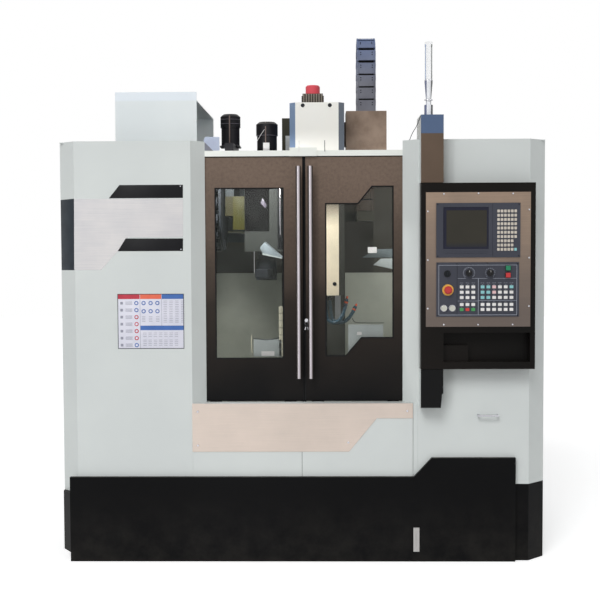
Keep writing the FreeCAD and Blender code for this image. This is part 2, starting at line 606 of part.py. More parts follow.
def column():
    """The column casting: wide at its foot, tapering back towards the top, slotted for the screw."""
    foot = "bed_width / 2"
    outline = [
        (f"spindle_x - {foot}", "bed_top"), (f"spindle_x + {foot}", "bed_top"),
        (f"spindle_x + {foot}", "column_toe"), ("spindle_x + column_half", "column_shoulder"),
        ("spindle_x + column_half", "column_top"), ("spindle_x - column_half", "column_top"),
        ("spindle_x - column_half", "column_shoulder"), (f"spindle_x - {foot}", "column_toe"),
    ]
    block = prism("column_block", "XZ", [outline], depth("column_front"), depth("column_back"))
    wedge = prism("column_wedge", "YZ", [[
        (depth("column_back + 1"), "column_shoulder"), (depth("column_back + 1"), "column_top + 1"),
        (depth("column_back - column_taper"), "column_top + 1"),
    ]], "spindle_x - bed_width", "spindle_x + bed_width")
    slot = box("column_slot_cut", ("spindle_x - column_slot", depth("column_front - 1"), "slot_low"),
               ("spindle_x + column_slot", depth("column_front + column_slot_depth"), "slot_high"))
    bore = rod("column_bore", ("spindle_x", depth("column_front + screw_z_offset"),
                               "slot_low - 40"),
               "journal_radius + run_clear", "column_top - slot_low + 60")
    window = box("column_window_cut",
                 ("spindle_x - column_window", depth("column_front + 2 * column_slot_depth + 30"),
                  "column_shoulder"),
                 ("spindle_x + column_window", depth("column_back + 1"),
                  "column_top - column_window"))
    rear = "chain_box_front + chain_back + 2 * bend_radius"
    low = "chain_box_high + (front_links - rear_links) * link_pitch"
    shelf_left = "spindle_x + cover_right + chain_box_gap + chain_inset"
    far = depth("column_front + chain_anchor")
    shelf = box("chain_shelf", (shelf_left, depth(f"{rear} - chain_anchor"), f"{low} - chain_anchor"),
                (f"{shelf_left} + link_width", far, low))
    arm = box("chain_arm", ("spindle_x + column_half - 1", depth("column_front + 4"),
                            f"{low} - chain_anchor"), (f"{shelf_left} + 1", far, low))
    node(fuse("column", cut("column_casting", block, wedge, slot, bore, window), shelf, arm), "column")


def guides():
    rails = []
    for i, s in enumerate(("-1", "1")):
        x = f"spindle_x + {s} * guide_half_y"
        rails.append(box(f"guide_y_{i}", (f"{x} - guide_width / 2", depth("guide_y_front"), "bed_top"),
                         (f"{x} + guide_width / 2", depth("guide_y_back"), "bed_top + guide_height")))
        x = f"spindle_x + {s} * guide_half_z"
        rails.append(box(f"guide_z_{i}", (f"{x} - guide_width / 2",
                                          depth("column_front - guide_height"), "guide_z_low"),
                         (f"{x} + guide_width / 2", depth("column_front"), "guide_z_high")))
    node(group("frame_guides", *rails), "frame_guides")
    rails = []
    for i, s in enumerate(("-1", "1")):
        y = f"spindle_depth + {s} * guide_half_x"
        rails.append(box(f"guide_x_{i}", ("spindle_x - saddle_wing", depth(f"{y} - guide_width / 2"),
                                          "saddle_top"),
                         ("spindle_x + saddle_wing", depth(f"{y} + guide_width / 2"),
                          "saddle_top + guide_height")))
    node(group("saddle_guides", *rails), "saddle_guides")


def screw(label, length, journal_low, journal_high, base, along):
    """A ball screw: its threaded length with a thinner journal at one end or both."""
    profile = [
        ("0", f"-({journal_low})"), ("journal_radius", f"-({journal_low})"),
        ("journal_radius", "0"), ("screw_radius", "0"), ("screw_radius", length),
    ]
    if journal_high:
        far = f"{length} + {journal_high}"
        profile += [("journal_radius", length), ("journal_radius", far), ("0", far)]
    else:
        profile.append(("0", length))
    node(turned(label, profile, base, along), label)


def screws():
    end = "bed_wall - 2"
    gap = "slack"
    screw("y_screw", f"column_front - bed_wall - bed_front - bed_wall - 2 * {gap}",
          "bed_wall", None,
          ("spindle_x", depth(f"bed_front + bed_wall + {gap}"), "screw_y_height"), "y")
    screw("x_screw", f"2 * saddle_wing - 2 * {end}", end, end,
          (f"spindle_x - saddle_wing + {end}", SPIN_Y, "screw_x_height"), "x")
    screw("z_screw", f"slot_high - slot_low - 2 * {gap}", "36",
          f"column_top - slot_high + {gap}",
          ("spindle_x", depth("column_front + screw_z_offset"), f"slot_low + {gap}"), "z")


def carriage(name, x, y, low, high, along):
    """A guide carriage that straddles a rail lying along X or Y."""
    slot = "(guide_width / 2 + slack)"
    half = ("carriage_length / 2", "carriage_half")
    if along == "y":
        half = (half[1], half[0])
    block = box(f"{name}_block", (f"{x} - {half[0]}", depth(f"{y} - {half[1]}"), low),
                (f"{x} + {half[0]}", depth(f"{y} + {half[1]}"), high))
    if along == "y":
        low_cut = (f"{x} - {slot}", depth(f"{y} - carriage_length"))
        high_cut = (f"{x} + {slot}", depth(f"{y} + carriage_length"))
    else:
        low_cut = (f"{x} - carriage_length", depth(f"{y} - {slot}"))
        high_cut = (f"{x} + carriage_length", depth(f"{y} + {slot}"))
    groove = box(f"{name}_groove", (*low_cut, f"{low} - 1"),
                 (*high_cut, f"{low} - guide_lip + guide_height + slack"))
    return cut(name, block, groove)


def saddle():
    """The cross slide: a narrow lower body on the bed's guides and a wide upper wing for X."""
    near, far = depth("spindle_depth - saddle_depth / 2"), depth("spindle_depth + saddle_depth / 2")
    lower = box("saddle_body", ("spindle_x - saddle_half", near, "saddle_low"),
                ("spindle_x + saddle_half", far, "saddle_top"))
    wing_part = prism("saddle_wings", "XZ", [[
        ("spindle_x - saddle_wing", "saddle_top - saddle_web"), ("spindle_x - saddle_half", "saddle_low"),
        ("spindle_x + saddle_half", "saddle_low"), ("spindle_x + saddle_wing", "saddle_top - saddle_web"),
        ("spindle_x + saddle_wing", "saddle_top"), ("spindle_x - saddle_wing", "saddle_top"),
    ]], depth("spindle_depth - guide_half_x - carriage_half"),
        depth("spindle_depth + guide_half_x + carriage_half"))
    trough = box("saddle_trough_cut", ("spindle_x - saddle_wing + bed_wall - 2",
                                       depth("spindle_depth - saddle_trough"), "saddle_trough_low"),
                 ("spindle_x + saddle_wing - bed_wall + 2",
                  depth("spindle_depth + saddle_trough"), "saddle_top + 1"))
    bore = rod("saddle_bore", ("spindle_x - saddle_wing - 1", SPIN_Y, "screw_x_height"),
               "journal_radius + run_clear", "2 * saddle_wing + 2", "x")
    ends = [
        box(f"saddle_end_{i}", (x, depth("spindle_depth - motor_half"), "saddle_top - saddle_web"),
            (f"{x} + bed_wall - 2", depth("spindle_depth + motor_half"),
             "screw_x_height + motor_half - slack"))
        for i, x in enumerate(("spindle_x - saddle_wing", "spindle_x + saddle_wing - bed_wall + 2"))
    ]
    solid = cut("saddle_solid", fuse("saddle_blank", lower, wing_part, *ends), trough, bore)
    nut = cut("saddle_nut", box("saddle_nut_block",
              ("spindle_x - nut_half", depth("spindle_depth - nut_length / 2"),
               "screw_y_height - nut_half"),
              ("spindle_x + nut_half", depth("spindle_depth + nut_length / 2"), "saddle_low")),
              rod("saddle_nut_bore", ("spindle_x", depth("spindle_depth - nut_length"),
                                      "screw_y_height"),
                  "screw_radius + slack", "2 * nut_length", "y"))
    shoes = [
        carriage(f"saddle_shoe_{i}{j}", f"spindle_x + {s} * guide_half_y",
                 f"spindle_depth + {t} * carriage_spread_y", "bed_top + guide_lip", "saddle_low", "y")
        for i, s in enumerate(("-1", "1")) for j, t in enumerate(("-1", "1"))
    ]
    node(fuse("saddle", solid, nut, *shoes), "saddle")


def table():
    """The T-slotted table with its carriages and screw nut below."""
    left, right = "spindle_x - table_half", "spindle_x + table_half"
    near, far = depth("spindle_depth - table_depth / 2"), depth("spindle_depth + table_depth / 2")
    block = box("table_block", (left, near, "table_low"), (right, far, "table_top"))
    slots = []
    for i in range(int(number("slot_count"))):
        y = f"spindle_depth + ({i} - (slot_count - 1) / 2) * slot_pitch"
        for part, half, low, high in (("neck", "slot_width / 2", "table_top - slot_depth", "table_top + 1"),
                                      ("foot", "slot_foot / 2", "table_top - slot_depth",
                                       "table_top - slot_depth + slot_foot_height")):
            slots.append(box(f"slot_{part}_{i}", (f"{left} - 1", depth(f"{y} - {half}"), low),
                             (f"{right} + 1", depth(f"{y} + {half}"), high)))
    sides = [
        box(f"table_side_{i}", (f"{left} - 1", low, "table_low - 1"),
            (f"{right} + 1", high, "table_top - table_edge"))
        for i, (low, high) in enumerate(((f"{near} - 1", f"{near} + gutter"),
                                         (f"{far} - gutter", f"{far} + 1")))
    ]
    solid = cut("table_solid", block, *slots, *sides)
    shoes = [
        carriage(f"table_shoe_{i}{j}", f"spindle_x + {s} * carriage_spread_x",
                 f"spindle_depth + {t} * guide_half_x", "saddle_top + guide_lip", "table_low", "x")
        for i, s in enumerate(("-1", "1")) for j, t in enumerate(("-1", "1"))
    ]
    nut = cut("table_nut", box("table_nut_block",
              ("spindle_x - nut_length / 2", depth("spindle_depth - nut_half"),
               "saddle_trough_low + 6"),
              ("spindle_x + nut_length / 2", depth("spindle_depth + nut_half"), "table_low")),
              rod("table_nut_bore", ("spindle_x - nut_length", SPIN_Y, "screw_x_height"),
                  "screw_radius + slack", "2 * nut_length", "x"))
    node(fuse("table", solid, nut, *shoes), "table")


def servo(label, base, along):
    """A small finned drive: square flange, square body and a round encoder cap."""
    dx = {"x": ("motor_length", None), "y": (None, "motor_length")}[along]
    x, y, z = base
    low = [f"{x} - motor_half" if dx[0] is None else x,
           f"{y} - motor_half" if dx[1] is None else y, f"{z} - motor_half"]
    high = [f"{x} + motor_half" if dx[0] is None else f"{x} + motor_length",
            f"{y} + motor_half" if dx[1] is None else f"{y} + motor_length", f"{z} + motor_half"]
    return box(label, low, high)


def drives():
    y_motor = servo("y_motor_body", ("spindle_x", depth("bed_front - motor_length"),
                                     "screw_y_height"), "y")
    y_shaft = rod("y_motor_cap", ("spindle_x", depth("bed_front - motor_length - 30"),
                                  "screw_y_height"), "motor_half - 12", "31", "y")
    node(fuse("y_motor", y_motor, y_shaft), "y_motor")
    x_motor = servo("x_motor_body", ("spindle_x + saddle_wing", SPIN_Y, "screw_x_height"), "x")
    x_cap = rod("x_motor_cap", ("spindle_x + saddle_wing + motor_length - 1", SPIN_Y,
                                "screw_x_height"), "motor_half - 12", "31", "x")
    node(fuse("x_motor", x_motor, x_cap), "x_motor")

    axis = ("spindle_x", depth("column_front + screw_z_offset"))
    base = "column_top + drive_plate"
    plate = box("drive_plate_block", (f"{axis[0]} - drive_half - 12", depth("column_front"), "column_top"),
                (f"{axis[0]} + drive_half + 12",
                 depth("column_front + screw_z_offset + drive_half + 12"), base))
    core = box("drive_core", (f"{axis[0]} - drive_half + drive_fin",
                              f"{axis[1]} - drive_half + drive_fin", base),
               (f"{axis[0]} + drive_half - drive_fin", f"{axis[1]} + drive_half - drive_fin",
                f"{base} + drive_length"))
    fins = [
        box(f"drive_fin_{i}", (f"{axis[0]} - drive_half", f"{axis[1]} - drive_half",
                               f"{base} + fin_pitch * {i + 0.5}"),
            (f"{axis[0]} + drive_half", f"{axis[1]} + drive_half",
             f"{base} + fin_pitch * {i + 0.5} + fin_pitch / 2"))
        for i in range(int(number("fin_count")))
    ]
    cap = turned("z_motor_cap", [
        ("0", "0"), ("cap_radius", "0"), ("cap_radius", "cap_height - 8"),
        ("cap_radius - 8", "cap_height"), ("0", "cap_height"),
    ], (*axis, f"{base} + drive_length"))
    node(fuse("z_motor", plate, core, *fins, cap), "z_motor")


def head():
    """The spindle head casting, its quill, its motor, its sheet cover and the rotating spindle."""
    x_low, x_high = "spindle_x - head_half", "spindle_x + head_half"
    casting = prism("head_casting", "YZ", [[
        (depth("head_front"), "head_low"), (depth("head_back"), "head_low"),
        (depth("head_back"), "head_high"), (depth("spindle_depth + head_half"), "head_high"),
        (depth("head_front"), "head_high - head_half"),
    ]], x_low, x_high)
    quill = rod("quill", ("spindle_x", SPIN_Y, "quill_low"), "quill_radius",
                "head_low - quill_low + 1")
    top = box("head_deck", (x_low, depth("head_front"), "head_high - head_half - 1"),
              (x_high, depth("spindle_depth + head_half + 1"), "head_high"))
    bore = rod("head_bore", ("spindle_x", SPIN_Y, "quill_low - 1"), "nose_radius + run_clear",
               "head_high - quill_low + 2")
    shoes = []
    for i, s in enumerate(("-1", "1")):
        for j, z in enumerate(("carriage_z_low", "carriage_z_high")):
            x = f"spindle_x + {s} * guide_half_z"
            slot = "(guide_width / 2 + slack)"
            block = box(f"head_shoe_block_{i}{j}",
                        (f"{x} - carriage_half + 5", depth("head_back"), z),
                        (f"{x} + carriage_half - 5", depth("column_front - guide_lip"),
                         f"{z} + carriage_length"))
            groove = box(f"head_shoe_groove_{i}{j}",
                         (f"{x} - {slot}", depth("column_front - guide_height - slack"), f"{z} - 1"),
                         (f"{x} + {slot}", depth("column_front"), f"{z} + carriage_length + 1"))
            shoes.append(cut(f"head_shoe_{i}{j}", block, groove))
    wings = box("head_saddle", ("spindle_x - guide_half_z - carriage_half + 5",
                                depth("head_back - bed_wall"), "carriage_z_low"),
                ("spindle_x + guide_half_z + carriage_half - 5", depth("head_back"),
                 "carriage_z_high + carriage_length"))
    mounts = [
        box(f"cover_mount_{i}", ("spindle_x - cover_left + sheet", depth("head_back - 2 * bed_wall"), z),
            ("spindle_x + cover_right - sheet", depth("head_back - bed_wall - 11"), f"{z} + bed_wall"))
        for i, z in enumerate(("head_low + 2 * bed_wall", "head_high - 2 * bed_wall"))
    ]
    nut = cut("head_nut", box("head_nut_block",
              ("spindle_x - nut_half", depth("head_back"), "head_low + nut_length"),
              ("spindle_x + nut_half", depth("column_front + screw_z_offset + nut_half"),
               "head_low + 2 * nut_length")),
              rod("head_nut_bore", ("spindle_x", depth("column_front + screw_z_offset"), "head_low"),
                  "screw_radius + slack", "3 * nut_length"))
    motor = box("motor_case", ("spindle_x - motor_case_half", depth("spindle_depth - motor_case_half"),
                               "head_high"),
                ("spindle_x + motor_case_half", depth("spindle_depth + motor_case_half"),
                 "motor_case_high"))
    blank = fuse("head_blank", casting, quill, top, wings, nut, motor, *shoes, *mounts)
    node(cut("spindle_head", blank, bore), "spindle_head")

    def shell(name, inset, start, end, back):
        left = f"spindle_x - cover_left + {inset}"
        right = f"spindle_x + cover_right - {inset}"
        bevel = f"cover_bevel - 0.586 * {inset}"
        front = f"cover_front + {inset}"
        return prism(name, "XY", [[
            (left, depth(back)), (left, depth(f"cover_front + cover_bevel + 0.414 * {inset}")),
            (f"{left} + {bevel}", depth(front)), (f"{right} - {bevel}", depth(front)),
            (right, depth(f"cover_front + cover_bevel + 0.414 * {inset}")), (right, depth(back)),
        ]], start, end)

    cover = cut("cover_shell", shell("cover_outside", "0", "cover_low", "cover_high", "cover_back"),
                shell("cover_inside", "sheet", "cover_low - 1", "cover_high - sheet",
                      "cover_back + 1"))
    node(cover, "head_cover")

    tip = turned("spindle_rotor", [
        ("nose_bore", "0"), ("nose_radius", "0"), ("nose_radius", "spindle_high - nose_low"),
        ("0", "spindle_high - nose_low"), ("0", "bore_depth"), ("taper_top", "bore_depth"),
    ], ("spindle_x", SPIN_Y, "nose_low"))
    keys = [
        box(f"drive_key_{i}", (f"spindle_x + {s} * (nose_bore + nose_radius) / 2 - drive_key / 4",
                               depth("spindle_depth - drive_key / 2"), "nose_low - 4"),
            (f"spindle_x + {s} * (nose_bore + nose_radius) / 2 + drive_key / 4",
             depth("spindle_depth + drive_key / 2"), "nose_low + 2"))
        for i, s in enumerate(("-1", "1"))
    ]
    node(fuse("spindle", tip, *keys), "spindle")

    box_left = "spindle_x + cover_right + chain_box_gap"
    carrier = box("cable_box_case", (box_left, depth("chain_box_front"), "chain_box_low"),
                  (f"{box_left} + chain_box_width", depth("chain_box_front + chain_box_depth"),
                   "chain_box_high"))
    lug = box("cable_box_lug", ("spindle_x + cover_right", depth("chain_box_front + 40"),
                                "chain_box_low + 30"),
              (f"{box_left} + 1", depth("chain_box_front + 140"), "chain_box_high - 60"))
    node(fuse("cable_box", carrier, lug), "cable_box")


def energy_chain():
    """Hollow links that rise from the head's box, bend over backwards and hang to a column lug."""
    pitch = number("link_pitch")
    radius = number("bend_radius")
    x = number("spindle_x + cover_right + chain_box_gap + chain_inset") + number("link_width") / 2
    front = number(depth("chain_box_front + chain_back"))
    low = number("chain_box_high")
    straight = int(number("front_links"))
    bend = int(number("bend_links"))
    top = low + pitch * straight
    sweep = math.pi / bend
    places = [(front, low + pitch * (i + 0.5), 0.0) for i in range(straight)]
    for i in range(bend):
        angle = sweep * (i + 0.5)
        places.append((front + radius * (1 - math.cos(angle)), top + radius * math.sin(angle), angle))
    for i in range(int(number("rear_links"))):
        places.append((front + 2 * radius, top - pitch * (i + 0.5), math.pi))
    wide, high, wall = number("link_width"), number("link_height"), number("link_wall")
    slack = number("slack")
    links = []
    for i, (y, z, angle) in enumerate(places):
        step = 2 * radius * math.sin(sweep / 2) if 0 < angle < math.pi else pitch
        inset = (i % 2) * (wall + slack)
        ends = step / 2 + high / 2 - 1
        nose = high * 0.29
        outline = [(sy * (high / 2 - cy), sz * (ends - cz)) for sy, sz, cy, cz in (
            (1, 1, nose, 0), (1, 1, 0, nose), (1, -1, 0, nose), (1, -1, nose, 0),
            (-1, -1, nose, 0), (-1, -1, 0, nose), (-1, 1, 0, nose), (-1, 1, nose, 0))]
        half = (high / 2, step / 2)
        if i == 0:
            outline = outline[:2] + [(half[0], -half[1]), (-half[0], -half[1])] + outline[6:]
        if i == len(places) - 1:
            outline = outline[2:6] + [(-half[0], half[1]), half]
        parts = []
        for side in (inset - wide / 2, wide / 2 - inset - wall):
            corners = [FreeCAD.Vector(side, v, w) for v, w in outline]
            face = Part.Face(Part.makePolygon(corners + corners[:1]))
            parts.append(face.extrude(FreeCAD.Vector(wall, 0, 0)))
        for side in (-high / 2, high / 2 - wall):
            corner = FreeCAD.Vector(inset - wide / 2 + 1, side, -step * 0.14)
            parts.append(Part.makeBox(wide - 2 * inset - 2, wall, step * 0.28, corner))
        link = parts[0].fuse(parts[1:]).removeSplitter()
        turn = FreeCAD.Rotation(FreeCAD.Vector(1, 0, 0), -math.degrees(angle))
        link.Placement = FreeCAD.Placement(FreeCAD.Vector(x, y, z), turn)
        links.append(link)
    chain = doc.addObject("Part::Feature", "cable_chain")
    chain.Shape = Part.Compound(links)
    node(chain, "cable_chain")
def tool_changer():
    x = "-arm_x"
    wide = [f"{x} - gear_half", f"{x} + gear_half"]
    case = box("gear_case", (wide[0], depth("gear_front"), "gear_low"),
               (wide[1], depth("bracket_front"), "gear_high"))
    hole = rod("gear_bore", (x, SPIN_Y, "gear_low - 1"), "sleeve_radius + slack",
               "sleeve_high - gear_low + 1")

    def motor(name, mx, low, high, radius):
        profile = [
            ("0", "-1"), (radius, "-1"), (radius, f"{high} - ({low}) - motor_cap"),
            (f"{radius} + 5", f"{high} - ({low}) - motor_cap"),
            (f"{radius} + 5", f"{high} - ({low}) - 14"), (f"{radius} - 12", f"{high} - ({low})"),
            ("0", f"{high} - ({low})"),
        ]
        return turned(name, profile, (mx, depth("motor_row"), low))

    arm_motor = motor("arm_motor", x, "gear_high", "arm_motor_high", "arm_motor_radius - 5")
    node(fuse("arm_gearbox", cut("gear_case_bored", case, hole), arm_motor), "arm_gearbox")

    side = "spindle_x - column_half"
    beam = box("bracket_beam", ("sheet - mag_left", depth("bracket_front"), "bracket_low"),
               (f"{side} - bracket_pad", depth("bracket_front + bracket_depth"), "bracket_high"))
    root = box("bracket_foot", (f"{side} - bracket_root",
                                depth("bracket_front + bracket_depth - 1"), "bracket_low"),
               (f"{side} - bracket_pad", depth("column_front + 2 * bracket_root"), "bracket_high"))
    pad = box("bracket_pad_block", (f"{side} - bracket_pad - 1", depth("column_front + 20"),
                                    "bracket_low"),
              (side, depth("column_front + 2 * bracket_root"), "bracket_high"))
    drive = box("magazine_drive_case", ("drive_gap - disc_x",
                                        depth("gear_case_front"), "gear_case_low"),
                ("-mag_motor_x + gear_case_half", depth("bracket_front + 1"), "mag_motor_low"))
    shelf = box("magazine_drive_shelf", ("-mag_motor_x - mag_motor_radius",
                                         depth("motor_row - mag_motor_radius"),
                                         "mag_motor_low - 8"),
                ("-mag_motor_x + mag_motor_radius", depth("motor_row + mag_motor_radius"),
                 "mag_motor_low"))
    drive_motor = motor("magazine_motor", "-mag_motor_x", "mag_motor_low", "mag_motor_high",
                        "mag_motor_radius - 5")
    hole = rod("magazine_drive_bore", ("-disc_x - 20", SPIN_Y, "disc_height"),
               "disc_shaft + run_clear", "70", "x")
    blank = fuse("magazine_bracket_blank", beam, root, pad, drive, shelf, drive_motor)
    node(cut("magazine_bracket", blank, hole), "magazine_bracket")

    sleeve = cut("arm_sleeve", rod("sleeve_outer", (x, SPIN_Y, "sleeve_low"), "sleeve_radius",
                                   "sleeve_high - sleeve_low - 1"),
                 rod("sleeve_bore", (x, SPIN_Y, "sleeve_low - 1"), "shaft_radius + run_clear",
                     "shaft_high - sleeve_low + 2"))
    node(sleeve, "arm_sleeve")
    hub = rod("arm_hub", (x, SPIN_Y, "hub_low"), "hub_radius", "hub_high - hub_low")
    shaft = rod("arm_shaft", (x, SPIN_Y, "hub_low"), "shaft_radius", "shaft_high - hub_low")
    end = "(arm_radius + grip_radius + grip_wall - 6)"
    neck = "(arm_radius - grip_radius - 10)"
    back = "(grip_radius + grip_wall)"
    half = [(f"- {back}", f"- {end}"), ("+ grip_mouth", f"- {end}"), ("+ grip_mouth", f"- {neck}"),
            ("+ arm_width / 2", "- hub_radius"), (f"+ {back}", f"+ {neck}")]
    swap = str.maketrans("+-", "-+")
    other = [(u[0].translate(swap) + u[1:], v[0].translate(swap) + v[1:]) for u, v in half]
    bar = prism("arm_bar", "XY", [[
        (f"{x} {u}", depth(f"spindle_depth {v}")) for u, v in half + other
    ]], "arm_low", "arm_low + arm_thick")
    grips = [
        rod(f"grip_{i}", (x, depth(f"spindle_depth {s} arm_radius"), "arm_low - 1"),
            "grip_radius", "arm_thick + 2")
        for i, s in enumerate("-+")
    ]
    node(fuse("change_arm", hub, shaft, cut("arm_blade", bar, *grips)), "change_arm")


def pot(name, angle):
    """One tool pot, its axis along X, at an angle round the disc."""
    y = f"spindle_depth + pot_circle * sin({angle})"
    z = f"disc_height - pot_circle * cos({angle})"
    return turned(name, [
        ("0", "0"), ("pot_radius", "0"), ("pot_radius", "pot_length - 18"),
        ("pot_radius + 4", "pot_length - 14"), ("pot_radius + 4", "pot_length"),
        ("pot_bore", "pot_length"), ("pot_bore - 4", "pot_length - 4"), ("0", "pot_length - 4"),
    ], ("-disc_x - disc_thick - pot_gap", depth(y), z), "-x")


def magazine():
    """The tool disc with its pots; the lowest pot tips down on a trunnion held by two ears."""
    count = int(number("pot_count"))
    turn = "360 deg / pot_count"
    pots = [pot(f"pot_{i}", f"{i} * {turn}") for i in range(1, count)]
    face = "-disc_x - disc_thick"
    rim = rod("disc_rim", (face, SPIN_Y, "disc_height"), "disc_edge", "disc_thick", "x")
    shaft = rod("disc_shaft_rod", ("-disc_x - 1", SPIN_Y, "disc_height"), "disc_shaft", "50", "x")
    pads = [
        rod(f"pot_pad_{i}", (f"{face} - pot_gap - 1",
                             depth(f"spindle_depth + pot_circle * sin({i} * {turn})"),
                             f"disc_height - pot_circle * cos({i} * {turn})"),
            "pot_pin", "pot_gap + 2", "x", sides=6)
        for i in range(1, count)
    ]
    pivot = f"{face} - pot_pivot"
    low = "disc_height - pot_circle"
    ears = [
        box(f"pot_ear_{i}", (f"{pivot} - 2 * trunnion", depth(f"spindle_depth + {s}"),
                             f"{low} - 2 * trunnion"),
            (f"{face} + 1", depth(f"spindle_depth + {t}"), f"{low} + 3 * trunnion"))
        for i, (s, t) in enumerate((("-ear_far", "-ear_near"), ("ear_near", "ear_far")))
    ]
    notch = box("disc_notch", (f"{face} - 1", depth("spindle_depth - ear_near"), f"{low} - pot_radius - 9"),
                ("1 - disc_x", depth("spindle_depth + ear_near"), f"{low} + pot_radius + 6"))
    bore = rod("ear_bore", (pivot, depth("spindle_depth - ear_far - 1"), low),
               "trunnion + run_clear", "2 * ear_far + 2", "y")
    blank = fuse("tool_disc_blank", cut("disc_plate", rim, notch), shaft, *pads, *pots, *ears)
    node(cut("tool_disc", blank, bore), "tool_disc")
    pin = rod("change_pot_pin", (pivot, depth("spindle_depth - ear_far"), low), "trunnion",
              "2 * ear_far", "y")
    node(fuse("change_pot", pot("change_pot_solid", "0 deg"), pin), "change_pot")

    left, right = "-mag_left", "-mag_right"
    near, far = depth("mag_front"), depth("mag_back")
    shell = box("mag_outside", (left, near, "mag_low"), (right, far, "mag_side"))
    room = box("mag_inside", (f"{left} + sheet", f"{near} + sheet", "mag_low - 1"),
               (f"{right} + 1", f"{far} - sheet", "mag_side - sheet"))
    lip = box("mag_lip", (left, near, "mag_side - 1"), (right, f"{near} + sheet", "mag_high"))
    node(fuse("magazine_cover", cut("mag_shell", shell, room), lip), "magazine_cover")


def lamp():
    base = ("lamp_x", depth("-lamp_depth"), "post_top")
    foot = turned("signal_lamp_stem", [
        ("0", "0"), ("lamp_foot", "0"), ("lamp_foot", "neck_low - post_top"),
        ("neck_radius", "neck_low - post_top"), ("neck_radius", "collar_low - post_top"),
        ("lamp_radius", "lens_low - post_top - 12"), ("lamp_radius", "lens_low - post_top"),
        ("0", "lens_low - post_top"),
    ], base)
    node(foot, "signal_lamp_stem")
    lens = rod("signal_lamp_lens", ("lamp_x", depth("-lamp_depth"), "lens_low"), "lamp_radius",
               "lamp_top - lens_low")
    node(lens, "signal_lamp_lens")


